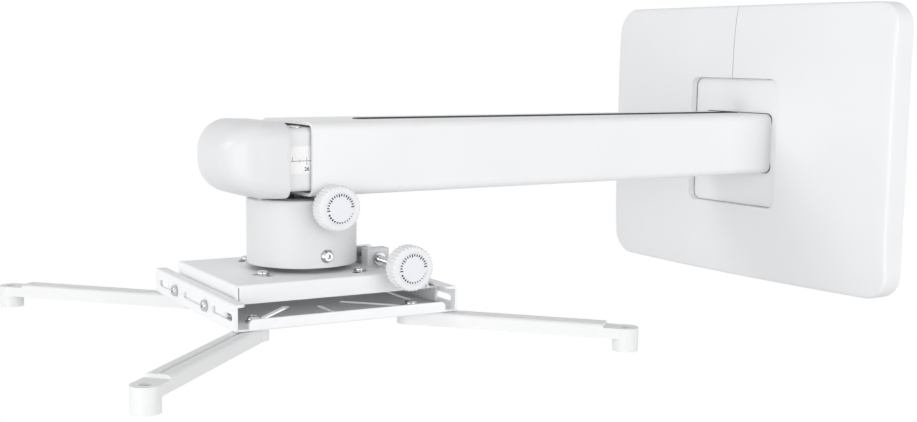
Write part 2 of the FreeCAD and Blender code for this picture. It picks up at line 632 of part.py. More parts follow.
def slide_scale():
    """The printed scale on the slide's right side."""
    body = piece("slide_scale")
    block(body, (SLIDE_X, f"-{HOOD_MOUTH}", "-scale_high / 2"), ("scale_thick", "scale_long", "scale_high"))


def slide_end_plate():
    """The plate welded into the slide's end: it carries the roll bolt and lets the cables out."""
    body = piece("slide_end_plate")
    inset = "slide_wall - weld_gap"
    tube_section(body, f"{SLIDE_END} - end_sheet", "end_sheet", f"({SLIDE_X} - {inset})",
                 f"({SLIDE_Z} - {inset})",
                 "slide_corner - slide_wall")
    rod(body, (0, f"-{SLIDE_END}", 0), Y_AXIS, "roll_bolt_dia / 2 + run_fit", "end_sheet", cut=True)
    for x in BOTH:
        rod(body, (f"{x} * ({SLIDE_X} - cable_hole_in)", f"-{SLIDE_END}", 0), Y_AXIS, "cable_hole / 2",
            "end_sheet", cut=True)


def roll_bolt():
    """The bolt along the arm's axis that the neck rolls on."""
    body = piece("roll_bolt")
    seat = f"({LUG_FAR} + seat_gap)"
    hexagon(body, (0, f"-{seat} - roll_hex_high", 0), Y_AXIS, "roll_hex", "roll_hex_high")
    rod(body, (0, f"-{seat}", 0), Y_AXIS, "roll_bolt_dia / 2",
        f"{seat} - {SLIDE_END} + end_sheet + roll_hex_high + roll_bolt_dia / 5")


def roll_nut():
    """The nut behind the end plate."""
    body = piece("roll_nut")
    start = (0, f"-{SLIDE_END} + end_sheet", 0)
    hexagon(body, start, Y_AXIS, "roll_hex", "roll_hex_high")
    rod(body, start, Y_AXIS, "roll_bolt_dia / 2 + run_fit", "roll_hex_high", cut=True)


def hood():
    """The moulded nose that caps the arm: a shell open towards the tube, notched below for the roll lug."""
    body = piece("hood")
    front = f"({HOOD_MOUTH} + hood_long)"
    form = block(body, ("-tube_wide / 2", f"-{front}", "-tube_high / 2"),
                 ("tube_wide", "hood_long", "tube_high"))
    nose_y = -size(front)
    mouth_y = -size(HOOD_MOUTH)
    half_z = size("tube_high / 2")
    nose = soften(body, form, "hood_nose", lambda edge: at(middle(edge).y, nose_y) and at(middle(edge).z, 0))
    shell = soften(body, nose, "hood_edge",
                   lambda edge: at(abs(middle(edge).z), half_z) and not at(middle(edge).y, mouth_y))
    doc.recompute()
    mouth = next(k for k, face in enumerate(shell.Shape.Faces, start=1)
                 if face.Surface.TypeId == "Part::GeomPlane" and at(face.CenterOfMass.y, mouth_y))
    hollow = body.newObject("PartDesign::Thickness", "hollow")
    hollow.Base = (shell, [f"Face{mouth}"])
    hollow.Reversed = True
    bind(hollow, Value="hood_wall")
    tube_section(body, HOOD_MOUTH, "hood_grip + hood_fit", f"({SLIDE_X} + hood_fit)",
                 f"({SLIDE_Z} + hood_fit)", "slide_corner + hood_fit", cut=True)
    rib = "(tube_wall + slide_gap - hood_fit)"
    for x in BOTH:
        for z in BOTH:
            low = f"{SLIDE_Z} + hood_fit" if z > 0 else f"-{SLIDE_Z} - hood_fit - {rib}"
            block(body, (f"{x} * {SLIDE_X} / 2 - hood_rib / 2", f"-{SLIDE_END}", low),
                  ("hood_rib", "hood_grip", rib))
    half = "(lug_wide / 2 + lug_play)"
    block(body, (f"-{half}", f"-({LUG_FAR} + lug_play)", "-tube_high / 2"),
          (f"2 * {half}", f"{LUG_FAR} + lug_play - {HOOD_MOUTH}", "hood_edge"), cut=True)


def roll_anchor():
    """The strap under the slide whose ear takes the roll screw inside the neck."""
    body = piece("roll_anchor")
    half = "(anchor_wide / 2)"
    web = f"({MOUTH} + anchor_clear)"
    floor = "(neck_top + anchor_drop)"
    ear = "(screw_dia / 2 + ear_play + ear_edge)"
    back = f"({ROLL_SCREW_Y} - {ear})"
    block(body, (f"-{half}", f"-({SLIDE_END} - seat_gap)", f"-{SLIDE_Z} - anchor_sheet"),
          ("anchor_wide", f"{SLIDE_END} - seat_gap - {web}", "anchor_sheet"))
    block(body, (f"-{half}", f"-{web} - anchor_sheet", f"-{floor} - anchor_sheet"),
          ("anchor_wide", "anchor_sheet", f"{floor} + anchor_sheet - {SLIDE_Z}"))
    block(body, (f"-{half}", f"-{web} - anchor_sheet", f"-{floor} - anchor_sheet"),
          ("anchor_wide", f"{web} + anchor_sheet - {back}", "anchor_sheet"))
    block(body, ("-roll_ear / 2", f"-{ROLL_SCREW_Y} - {ear}", f"-{floor}"),
          ("roll_ear", f"2 * {ear}", f"{floor} - roll_screw_low + screw_dia / 2 + ear_play + tube_wall"))
    rod(body, ("-roll_ear / 2", f"-{ROLL_SCREW_Y}", "-roll_screw_low"), X_AXIS, "screw_dia / 2 + ear_play",
        "roll_ear", cut=True)
    anchor_holes(body, f"-{SLIDE_Z} - anchor_sheet", "anchor_sheet")


def anchor_holes(body, low, long):
    """The two screw holes that the roll anchor and the slide share, from a level up."""
    for x in BOTH:
        rod(body, (f"{x} * anchor_apart / 2", f"-({SLIDE_END} - anchor_in)", low), Z_AXIS,
            "pan_shank / 2 + run_fit", long, cut=True)


def anchor_screws():
    """Two pan head screws that hold the roll anchor under the slide."""
    body = piece("anchor_screws")
    for x in BOTH:
        place = (f"{x} * anchor_apart / 2", f"-({SLIDE_END} - anchor_in)", f"-{SLIDE_Z} - anchor_sheet")
        pan_screw(body, place, Z_BACK, "anchor_sheet + slide_wall", "pan_shank")


def neck():
    """The cast neck: a cup below the arm with a lug for the roll bolt and holes for the screws."""
    body = neck_piece("neck")
    cup = rod(body, (0, 0, "-neck_low"), Z_AXIS, "neck_dia / 2", "neck_low - neck_top")
    top = -size("neck_top")
    soften(body, cup, "neck_edge", lambda edge: at(middle(edge).z, top))
    rod(body, (0, 0, "-neck_low"), Z_AXIS, NECK_IN, "neck_low - neck_top - neck_roof", cut=True)
    half = "(anchor_wide / 2 + roof_gap)"
    start = f"({SLIDE_END} - {NECK_Y} - seat_gap - lug_gap)"
    ear_back = "(roll_screw_back + screw_dia / 2 + ear_play + ear_edge + seat_gap + lug_gap)"
    block(body, (f"-{half}", f"-{start}", "-neck_top - neck_roof"),
          (f"2 * {half}", f"{start} + {ear_back}", "neck_roof"), cut=True)
    far = f"({LUG_FAR} - {NECK_Y})"
    block(body, ("-lug_wide / 2", f"-{far}", "-neck_top - neck_roof"),
          ("lug_wide", "lug_thick", "neck_top + neck_roof"))
    rod(body, (0, f"-{far}", 0), Y_AXIS, "lug_wide / 2", "lug_thick")
    rod(body, (0, f"-{far}", 0), Y_AXIS, "roll_bolt_dia / 2 + 2 * run_fit + bush_wall", "lug_thick", cut=True)
    rod(body, ("-neck_dia / 2", 0, "-pitch_low"), X_AXIS, "screw_dia / 2 + run_fit", "neck_dia", cut=True)
    for turn, side in ((X_AXIS, 1), (X_BACK, -1)):
        rod(body, (f"{side} * {SPOT}", 0, "-pitch_low"), turn, "button_dia / 2 + seat_gap", "spot_deep",
            cut=True)
    rod(body, (0, "roll_screw_back", "-roll_screw_low"), X_AXIS, "screw_dia / 2 + run_fit", "neck_dia / 2",
        cut=True)


def roll_bush():
    """The plain bush in the roll lug."""
    body = piece("roll_bush")
    start = (0, f"-{LUG_FAR}", 0)
    rod(body, start, Y_AXIS, "roll_bolt_dia / 2 + run_fit + bush_wall", "lug_thick")
    rod(body, start, Y_AXIS, "roll_bolt_dia / 2 + run_fit", "lug_thick", cut=True)


def knob(body):
    """A fluted knob along its own Z with a bore for its screw and a recess for its cap."""
    rod(body, (0, 0, 0), Z_AXIS, "knob_dia / 2", "knob_thick - knob_bevel")
    cone(body, (0, 0, "knob_thick - knob_bevel"), Z_AXIS, "knob_dia / 2", "knob_dia / 2 - knob_bevel",
         "knob_bevel")
    rod(body, (0, 0, 0), Z_AXIS, "screw_dia / 2 + run_fit", "screw_grip", cut=True)
    rod(body, (0, 0, "knob_thick - knob_cap_sink"), Z_AXIS, "knob_cap_dia / 2 + run_fit", "knob_cap_sink",
        cut=True)
    flute = rod(body, ("knob_dia / 2 + flute_radius - flute_deep", 0, 0), Z_AXIS, "flute_radius",
                "knob_thick", cut=True)
    ring = body.newObject("PartDesign::PolarPattern", "flutes")
    ring.Originals = [flute]
    ring.Axis = (origin(body, "Z_Axis"), [""])
    ring.Angle = 360
    ring.Occurrences = FLUTES
    body.Tip = ring


def knob_cap(body):
    """The flat cap in a knob's face, along its own Z."""
    rod(body, (0, 0, "knob_thick - knob_cap_sink"), Z_AXIS, "knob_cap_dia / 2", "knob_cap_thick")


def roll_knob_set():
    """The roll knob, its cap, its screw and the two collars that hold the screw in the neck."""
    start = ("roll_knob_face - knob_thick", f"-{ROLL_SCREW_Y}", "-roll_screw_low")
    body = piece("roll_knob")
    put(body, start, X_AXIS)
    knob(body)
    body = piece("roll_knob_cap")
    put(body, start, X_AXIS)
    knob_cap(body)
    y, z = f"-{ROLL_SCREW_Y}", "-roll_screw_low"
    rod(piece("roll_screw"), ("-screw_past", y, z), X_AXIS, "screw_dia / 2",
        "roll_knob_face - knob_thick + screw_grip + screw_past")
    body = piece("roll_collars")
    inner = "(anchor_wide / 2 + roof_gap - seat_gap - collar_thick)"
    outer = "(neck_dia / 2 + seat_gap)"
    collar(body, (inner, y, z), "collar_thick")
    collar(body, (outer, y, z), f"roll_knob_face - knob_thick - {outer}")


def collar(body, start, long):
    """A ring on an adjusting screw, along X."""
    rod(body, start, X_AXIS, "collar_dia / 2", long)
    rod(body, start, X_AXIS, "screw_dia / 2 + run_fit", long, cut=True)


def turret():
    """The cast turret in the neck: a cross bar on the pitch bolts, a boss and a flange below the plate."""
    body = neck_piece("turret")
    low = f"({FLANGE_TOP} + turret_flange)"
    rod(body, (0, 0, f"-{low}"), Z_AXIS, "boss_dia / 2", f"{low} - pitch_low + bar_dia / 2 + boss_up")
    rod(body, (0, 0, f"-{low}"), Z_AXIS, "turret_flange_dia / 2", "turret_flange")
    rod(body, (f"-{BAR_END}", 0, "-pitch_low"), X_AXIS, "bar_dia / 2", f"2 * {BAR_END}")
    for side, turn in ((1, X_BACK), (-1, X_AXIS)):
        rod(body, (f"{side} * {BAR_END}", 0, "-pitch_low"), turn, "screw_dia / 2 + run_fit", "button_in",
            cut=True)
    for x, y in clamp_places():
        rod(body, (x, y, f"-{low}"), Z_AXIS, "pan_shank / 2 + run_fit", "turret_flange", cut=True)


def clamp_places():
    """The yaw clamp screws on their pitch circle."""
    turns = [f"(clamp_turn + {k * 360 / CLAMPS}) * 1deg" for k in range(CLAMPS)]
    return [(f"clamp_ring / 2 * cos({turn})", f"clamp_ring / 2 * sin({turn})") for turn in turns]


def pitch_bolts():
    """Two button head bolts through the neck into the cross bar."""
    body = neck_piece("pitch_bolts")
    seat = f"({SPOT} + seat_gap)"
    inner = f"({BAR_END} - button_in + seat_gap)"
    for side, turn in ((1, X_AXIS), (-1, X_BACK)):
        rod(body, (f"{side} * {inner}", 0, "-pitch_low"), turn, "screw_dia / 2", f"{seat} - {inner}")
        rod(body, (f"{side} * {seat}", 0, "-pitch_low"), turn, "button_dia / 2", "button_rim")
        cone(body, (f"{side} * ({seat} + button_rim)", 0, "-pitch_low"), turn, "button_dia / 2",
             "button_dia / 3",
             "button_high - button_rim")
        hexagon(body, (f"{side} * ({seat} + button_rim)", 0, "-pitch_low"), turn, "button_socket",
                "button_high", cut=True)


def yaw_clamps():
    """Four pan head screws that clamp the head plate on the turret's flange, and their washers."""
    screws = neck_piece("yaw_clamp_screws")
    washers = neck_piece("yaw_clamp_washers")
    seat = f"({HEAD_TOP} - seat_gap)"
    for x, y in clamp_places():
        pan_screw(screws, (x, y, f"-{seat} + clamp_washer"), Z_AXIS,
                  "clamp_washer + 2 * seat_gap + head_sheet + turret_flange", "pan_shank")
        rod(washers, (x, y, f"-{seat}"), Z_AXIS, "collar_dia / 2", "clamp_washer")
        rod(washers, (x, y, f"-{seat}"), Z_AXIS, "pan_shank / 2 + run_fit", "clamp_washer", cut=True)


def yaw_ear():
    """The ear on the turret's flange that takes the yaw screw, up through the head plate."""
    body = head_piece("yaw_ear")
    half = "(screw_dia / 2 + ear_play + ear_edge)"
    block(body, ("-yaw_ear / 2", f"yaw_screw_back - {half}", f"-{FLANGE_TOP}"),
          ("yaw_ear", f"2 * {half}", f"{FLANGE_TOP} - {YAW_SCREW_Z} + {half}"))
    rod(body, ("-yaw_ear / 2", "yaw_screw_back", f"-{YAW_SCREW_Z}"), X_AXIS, "screw_dia / 2 + ear_play",
        "yaw_ear", cut=True)


def head_plate():
    """The folded head plate: a box lid whose long sides step out to lips inside the rails."""
    body = head_piece("head_plate")
    long, wide = "(head_long / 2)", "(head_wide / 2)"
    block(body, (f"-{long}", f"-{wide}", f"-{HEAD_TOP} - head_sheet"),
          ("head_long", "head_wide", "head_sheet"))
    low = f"-{HEAD_TOP} - head_high"
    end = f"({wide} - head_sheet - corner_slit)"
    for side in BOTH:
        x = f"{long} - head_sheet" if side > 0 else f"-{long}"
        block(body, (x, f"-{end}", low), ("head_sheet", f"2 * {end}", "head_high"))
        y = f"{wide} - head_sheet" if side > 0 else f"-{wide}"
        block(body, (f"-{long}", y, low), ("head_long", "head_sheet", "head_high"))
        tongue = f"{LIP_Y} - {wide} + head_sheet"
        y = f"{wide} - head_sheet" if side > 0 else f"-{LIP_Y}"
        block(body, (f"-{long}", y, low), ("head_long", tongue, "head_sheet"))
        y = f"{LIP_Y} - head_sheet" if side > 0 else f"-{LIP_Y}"
        block(body, (f"-{long}", y, f"{low} - lip_high"),
              ("head_long", "head_sheet", "lip_high + head_sheet"))
    top = -size(HEAD_TOP)
    soften(body, body.Tip, "bend", lambda edge: at(middle(edge).z, top))
    for side in BOTH:
        for x in rail_screw_places():
            rod(body, (x, f"{side} * {LIP_Y}", f"-{RAIL_SCREW_Z}"), Y_BACK if side > 0 else Y_AXIS,
                "pan_shank / 2 + run_fit", "head_sheet", cut=True)
    rod(body, (0, 0, f"-{HEAD_TOP} - head_sheet"), Z_AXIS, "boss_dia / 2 + run_fit", "head_sheet", cut=True)
    half = "(screw_dia / 2 + ear_play + ear_edge + 2 * lug_gap)"
    block(body, ("-yaw_ear / 2 - yaw_reach - lug_gap", f"yaw_screw_back - {half}",
          f"-{HEAD_TOP} - head_sheet"),
          ("yaw_ear + 2 * (yaw_reach + lug_gap)", f"2 * {half}", "head_sheet"), cut=True)
    outline = sketch(body, "XY_Plane", f"-{HEAD_TOP} - head_sheet", turn="clamp_turn + head_turn + 90")
    slot = "pan_shank + 2 * yaw_slot_play"
    obround(outline, f"-yaw_reach - ({slot}) / 2", f"yaw_reach + ({slot}) / 2", "-clamp_ring / 2", slot)
    arc = pocket(body, outline, "head_sheet")
    ring = body.newObject("PartDesign::PolarPattern", "yaw_slots")
    ring.Originals = [arc]
    ring.Axis = (origin(body, "Z_Axis"), [""])
    ring.Angle = 360
    ring.Occurrences = CLAMPS
    body.Tip = ring


def rail_screw_places():
    """The rail screws along each rail."""
    return ("-rail_screw_far", "rail_screw_near")


def yaw_block():
    """The block on the head plate that holds the yaw screw."""
    body = head_piece("yaw_block")
    block(body, ("block_out", "yaw_screw_back - block_wide / 2", f"-{HEAD_TOP}"),
          ("block_long", "block_wide", "block_high"))
    rod(body, ("block_out", "yaw_screw_back", f"-{YAW_SCREW_Z}"), X_AXIS, "screw_dia / 2 + run_fit",
        "block_long", cut=True)


def yaw_knob_set():
    """The yaw knob, its cap, its screw and the two collars that hold the screw in the block."""
    start = ("yaw_knob_face - knob_thick", "yaw_screw_back", f"-{YAW_SCREW_Z}")
    knob(on_head("yaw_knob", start, X_AXIS))
    knob_cap(on_head("yaw_knob_cap", start, X_AXIS))
    y, z = "yaw_screw_back", f"-{YAW_SCREW_Z}"
    rod(head_piece("yaw_screw"), ("-screw_past", y, z), X_AXIS, "screw_dia / 2",
        "yaw_knob_face - knob_thick + screw_grip + screw_past")
    body = head_piece("yaw_collars")
    collar(body, ("block_out - seat_gap - collar_thick", y, z), "collar_thick")
    collar(body, ("block_out + block_long + seat_gap", y, z), "collar_thick")


def rail_fasteners():
    """Four pan head screws that hold the rails on the head plate's lips, and their nuts."""
    screws = head_piece("rail_screws")
    nuts = head_piece("rail_nuts")
    seat = "(tray_wide / 2 + seat_gap)"
    inner = f"({LIP_Y} - head_sheet - rail_nut_high)"
    for side, turn in ((1, Y_AXIS), (-1, Y_BACK)):
        for x in rail_screw_places():
            pan_screw(screws, (x, f"{side} * {seat}", f"-{RAIL_SCREW_Z}"), turn, f"{seat} - {inner}",
                      "pan_shank")
            start = (x, f"{side} * {inner}", f"-{RAIL_SCREW_Z}")
            hexagon(nuts, start, turn, "rail_nut_flats", "rail_nut_high")
            rod(nuts, start, turn, "pan_shank / 2 + run_fit", "rail_nut_high", cut=True)


def leg_tray():
    """The folded tray below the head: a slotted floor, two end flanges and two C rails on the rail screws."""
    body = head_piece("leg_tray")
    long, wide = "(tray_long / 2)", "(tray_wide / 2)"
    block(body, (f"-{long}", f"-{wide}", f"-{TRAY_LOW}"), ("tray_long", "tray_wide", "head_sheet"))
    for side in BOTH:
        x = f"{long} - head_sheet" if side > 0 else f"-{long}"
        block(body, (x, "-tray_edge_long / 2", f"-{TRAY_LOW}"), ("head_sheet", "tray_edge_long", "tray_edge"))
        y = f"{wide} - head_sheet" if side > 0 else f"-{wide}"
        block(body, (f"-{long}", y, f"-{TRAY_LOW}"), ("tray_long", "head_sheet", "rail_high"))
        y = f"{wide} - rail_flange" if side > 0 else f"-{wide}"
        block(body, (f"-{long}", y, f"-{TRAY_LOW} + rail_high - head_sheet"),
              ("tray_long", "rail_flange", "head_sheet"))
    low = -size(TRAY_LOW)
    top = low + size("rail_high")
    side_y = size(wide)
    flange_y = size(f"{wide} - rail_flange")
    sheet = size("head_sheet")
    edge_y, edge_top = size("tray_edge_long / 2"), low + size("tray_edge")
    round_edge = soften(body, body.Tip, "tray_edge_corner",
                        lambda edge: at(abs(middle(edge).y), edge_y) and at(middle(edge).z, edge_top))
    round_ends = soften(body, round_edge, "rail_corner",
                        lambda edge: at(abs(middle(edge).y), flange_y) and at(edge.Length, sheet))
    soften(body, round_ends, "bend", lambda edge: at(middle(edge).z, low)
           or at(middle(edge).z, top) and at(abs(middle(edge).y), side_y))
    slot = "(pan_shank + 2 * rail_slot_play)"
    near = f"(rail_screw_near + {slot} / 2)"
    spare = f"({near} + rail_spare_gap)"
    spans = [(f"-rail_screw_far - rail_travel - {slot} / 2", f"-rail_screw_far + {slot} / 2"),
             (f"rail_screw_near - rail_travel - {slot} / 2 - rail_spare_gap", near),
             (spare, f"{spare} + rail_spare_slot")]
    for start, end in spans:
        outline = sketch(body, "XZ_Plane", 0)
        obround(outline, start, end, f"-{RAIL_SCREW_Z}", slot)
        pocket(body, outline, "2 * tray_wide", both=True)
    for x, y in CORNERS:
        floor_slot(body, leg_turn(x, y), "leg_slot_in", "leg_slot_out", "0",
                   "leg_bolt_dia + 2 * leg_slot_play")
    for side in BOTH:
        floor_slot(body, f"{90 - 90 * side}", "tie_slot_in", "tie_slot_in + tie_slot_long", "0", "tie_slot")
        floor_slot(body, "0", "-tie_slot_long", "tie_slot_long", f"{side} * tie_slot_side", "tie_slot")


def floor_slot(body, turn, start, end, level, wide):
    """A slot through the tray's floor along a turned line."""
    outline = sketch(body, "XY_Plane", f"-{TRAY_LOW}", turn=turn)
    obround(outline, start, end, level, wide)
    pocket(body, outline, "head_sheet")


def leg_turn(x, y):
    """The direction of the leg slot in one corner, in degrees from +X."""
    return f"{y} * leg_angle" if x > 0 else f"180 - {y} * leg_angle"


def leg(name, x, y):
    """One leg with its bolt and washer, each along its own X from the bolt's axis."""
    turn = leg_turn(x, y)
    out = "leg_bolt_front" if y < 0 else "leg_bolt_back"
    where = (f"{out} * cos(({turn}) * 1deg)", f"{out} * sin(({turn}) * 1deg)", "0")
    spin = FreeCAD.Rotation(size(turn), 0, 0)
    body = on_head(f"leg_bolt_{name}", where, spin)
    seat = f"({TRAY_FLOOR} - seat_gap - washer_thick)"
    low = f"({LEG_TOP} + leg_high - leg_skin)"
    rod(body, (0, 0, f"-{low} + seat_gap"), Z_AXIS, "leg_bolt_dia / 2", f"{low} - seat_gap - {seat}")
    rod(body, (0, 0, f"-{seat}"), Z_AXIS, "leg_head_dia / 2", "leg_head_high / 2")
    cone(body, (0, 0, f"-{seat} + leg_head_high / 2"), Z_AXIS, "leg_head_dia / 2", "leg_head_dia / 3",
         "leg_head_high / 2")
    cross(body, ("0", "0", f"-{seat} + leg_head_high - cross_deep"), Z_AXIS)
    body = on_head(f"leg_washer_{name}", where, spin)
    rod(body, (0, 0, f"-{seat} - washer_thick"), Z_AXIS, "washer_dia / 2", "washer_thick")
    rod(body, (0, 0, f"-{seat} - washer_thick"), Z_AXIS, "leg_bolt_dia / 2 + run_fit", "washer_thick",
        cut=True)
    body = on_head(f"leg_{name}", where, spin)
    floor = f"-{LEG_TOP} - leg_high"
    foot = f"{LEG_TOP} + foot_step"
    bar = block(body, (0, "-leg_wide / 2", floor), ("leg_long", "leg_wide", "leg_high"))
    top, side_y = -size(LEG_TOP), size("leg_wide / 2")
    soften(body, bar, "leg_edge", lambda edge: at(middle(edge).z, top) and at(abs(middle(edge).y), side_y))
    rod(body, (0, 0, floor), Z_AXIS, "leg_eye_dia / 2", "leg_high")
    block(body, ("leg_long - foot_pad", "-leg_wide / 2", f"-({foot})"), ("foot_pad", "leg_wide", "foot_step"),
          cut=True)
    rod(body, ("leg_long", 0, f"-({foot}) - foot_high"), Z_AXIS, "foot_dia / 2", "foot_high")
    rod(body, (0, 0, f"-{low}"), Z_AXIS, "leg_bolt_dia / 2 + run_fit", "leg_high", cut=True)
    rod(body, ("leg_long", 0, f"-({foot}) - foot_high"), Z_AXIS, "foot_bore / 2", "foot_high", cut=True)
    rod(body, ("leg_long", 0, f"-({foot}) - foot_sink_deep"), Z_AXIS, "foot_sink / 2", "foot_sink_deep",
        cut=True)
    block(body, ("leg_groove_in", "-leg_groove_wide / 2", f"-{LEG_TOP} - leg_groove_deep"),
          ("leg_long - 2 * leg_groove_in", "leg_groove_wide", "leg_groove_deep"), cut=True)


wall_plate()
base_studs()
base_nuts()
arm_base()
plate_cover()
arm_tube()
grub_screws()
glides("mouth_glides", f"{MOUTH} - glide_in", f"({TUBE_X} - glide_thick)", f"({TUBE_Z} - glide_thick)")
glides("tail_glides", f"{SLIDE_BACK} + glide_in + glide_long", SLIDE_X, SLIDE_Z)
slide_tube()
stop_screws()
slide_scale()
slide_end_plate()
roll_bolt()
roll_nut()
hood()
roll_anchor()
anchor_screws()
neck()
roll_bush()
roll_knob_set()
turret()
pitch_bolts()
yaw_clamps()
yaw_ear()
head_plate()
yaw_block()
yaw_knob_set()
rail_fasteners()
leg_tray()
for leg_name, (leg_x, leg_y) in LEGS.items():
    leg(leg_name, leg_x, leg_y)
doc.recompute()

for item in doc.Objects:
    if "Invalid" in item.State or "Error" in item.State:
        raise RuntimeError(f"{item.Name} ({item.Label}) failed: {item.State}")
for body in NODES:
    if body.Shape.isNull() or not body.Shape.isValid() or not body.Shape.Solids:
        raise RuntimeError(f"{body.Label} has no valid solid")

os.makedirs("parts", exist_ok=True)
for body in NODES:
    body.Shape.exportStep(f"parts/{body.Label}.step")
    box = body.Shape.BoundBox
    print(f"{body.Label}: {len(body.Shape.Solids)} solid, {body.Shape.Volume / 1000:.2f} cm3,",
          f"x {box.XMin:.1f} {box.XMax:.1f} y {box.YMin:.1f} {box.YMax:.1f} z {box.ZMin:.1f} {box.ZMax:.1f}")
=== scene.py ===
# %% [markdown]
# # A projector wall mount in white
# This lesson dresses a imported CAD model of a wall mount: a covered wall plate, a sliding arm, a tilting
# head and a tray with four legs. The CAD pieces already have the right shape and place. Blender adds what
# CAD leaves out: the hood's round nose, the cover's crown, fluted knobs, threads, domed screw heads,
# printed marks, the finish of each surface, and soft light. Everything is in metres in the CAD's own
# frame, so a piece goes where its numbers say.

# %% Load the frame
import json
import math

import bmesh
import bpy
import numpy as np
from mathutils import Matrix, Vector


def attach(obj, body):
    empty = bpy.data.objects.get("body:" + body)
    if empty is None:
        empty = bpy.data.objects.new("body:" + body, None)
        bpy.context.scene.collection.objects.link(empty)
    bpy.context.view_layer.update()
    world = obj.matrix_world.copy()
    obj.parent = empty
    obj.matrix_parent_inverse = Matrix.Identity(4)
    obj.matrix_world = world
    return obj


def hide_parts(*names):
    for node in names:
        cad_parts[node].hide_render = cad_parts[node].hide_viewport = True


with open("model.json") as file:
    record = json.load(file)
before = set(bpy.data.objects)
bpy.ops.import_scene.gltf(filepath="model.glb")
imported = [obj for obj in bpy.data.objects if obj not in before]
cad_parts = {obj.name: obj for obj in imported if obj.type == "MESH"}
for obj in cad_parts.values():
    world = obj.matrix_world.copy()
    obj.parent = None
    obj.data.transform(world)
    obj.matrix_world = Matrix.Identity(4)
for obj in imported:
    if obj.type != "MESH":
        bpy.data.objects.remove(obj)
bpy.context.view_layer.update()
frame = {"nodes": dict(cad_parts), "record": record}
MM = 0.001

# %% [markdown]
# ## The camera
# The photograph shows the arm from its right side, a little from the front and from above. The camera's
# place was worked out from straight edges of the arm, the cover and the head. A camera in Blender looks
# along its own -Z, so its matrix is built from three directions: right, up and back. A small roll tips
# the picture as in the photograph.

# %% Camera at the photograph's angle
CAMERA_PLACE = Vector((977.96, -1022.17, 82.34)) * MM
CAMERA_TURN = math.radians(56.47)
CAMERA_DIP = math.radians(6.682)
CAMERA_ROLL = math.radians(0.747)
PICTURE_WIDE = 917
FOCAL_PIXELS = 1302.84
SENSOR_MM = 36.0

right = Vector((math.cos(CAMERA_TURN), math.sin(CAMERA_TURN), 0))
ahead = Vector((-math.sin(CAMERA_TURN) * math.cos(CAMERA_DIP),
                math.cos(CAMERA_TURN) * math.cos(CAMERA_DIP), -math.sin(CAMERA_DIP)))
above = right.cross(ahead)
rolled_right = right * math.cos(CAMERA_ROLL) + above * math.sin(CAMERA_ROLL)
rolled_up = above * math.cos(CAMERA_ROLL) - right * math.sin(CAMERA_ROLL)
lens = bpy.data.cameras.new("mount_camera")
lens.sensor_fit = "HORIZONTAL"
lens.sensor_width = SENSOR_MM
lens.lens = FOCAL_PIXELS * SENSOR_MM / PICTURE_WIDE
camera = bpy.data.objects.new("mount_camera", lens)
turned_view = Matrix((rolled_right, rolled_up, -ahead)).transposed()
camera.matrix_world = Matrix.Translation(CAMERA_PLACE) @ turned_view.to_4x4()
bpy.context.scene.collection.objects.link(camera)
bpy.context.scene.camera = camera
bpy.context.scene.view_settings.view_transform = "Standard"
print("camera lens in mm:", round(lens.lens, 2))

# %% [markdown]
# ## Floor, sky and lamps
# The mount hangs on a wall, so the floor lies well below it. Seen by the camera or in a gloss, floor and
# sky are white, which gives the white page around the object. For all other light the sky is a grey that
# is dimmer overhead than near the horizon, so that tops are a little darker than sides, as in the
# photograph. One large lamp stands level to the right, where the arm's side is brightest. A second one
# stands in front and higher, so that the hood throws a soft shadow on the neck. A third one stands low
# beside the camera and fills the cover's lower part.

# %% Floor
FLOOR_LEVEL = -0.62
FLOOR_HALF = 14.0
PAPER_SHADE = 0.8
PAPER_ROUGH = 0.9


def white_to_viewer(nodes, links):
    """One for a ray from the camera, off a gloss or through glass, and zero for all other light."""
    path = nodes.new("ShaderNodeLightPath")
    seen = path.outputs["Is Camera Ray"]
    for kind in ("Is Glossy Ray", "Is Transmission Ray"):
        either = nodes.new("ShaderNodeMath")
        either.operation = "MAXIMUM"
        links.new(seen, either.inputs[0])
        links.new(path.outputs[kind], either.inputs[1])
        seen = either.outputs[0]
    return seen


floor_mesh = bpy.data.meshes.new("studio_floor")
floor_corners = np.array([(-1, -1), (1, -1), (1, 1), (-1, 1)]) * FLOOR_HALF
floor_mesh.from_pydata([(x, y, FLOOR_LEVEL) for x, y in floor_corners.tolist()], [], [(0, 1, 2, 3)])
floor = bpy.data.objects.new("studio_floor", floor_mesh)
bpy.context.scene.collection.objects.link(floor)
paper = bpy.data.materials.new("floor_paper")
paper.use_nodes = True
nodes, links = paper.node_tree.nodes, paper.node_tree.links
matt = nodes["Principled BSDF"]
matt.inputs["Base Color"].default_value = (PAPER_SHADE, PAPER_SHADE, PAPER_SHADE, 1)
matt.inputs["Roughness"].default_value = PAPER_ROUGH
matt.inputs["Specular IOR Level"].default_value = 0.0
glow = nodes.new("ShaderNodeEmission")
either_look = nodes.new("ShaderNodeMixShader")
links.new(white_to_viewer(nodes, links), either_look.inputs["Fac"])
links.new(matt.outputs[0], either_look.inputs[1])
links.new(glow.outputs[0], either_look.inputs[2])
links.new(either_look.outputs[0], nodes["Material Output"].inputs["Surface"])
floor_mesh.materials.append(paper)
print("floor below the arm's axis in mm:", round(-FLOOR_LEVEL / MM))

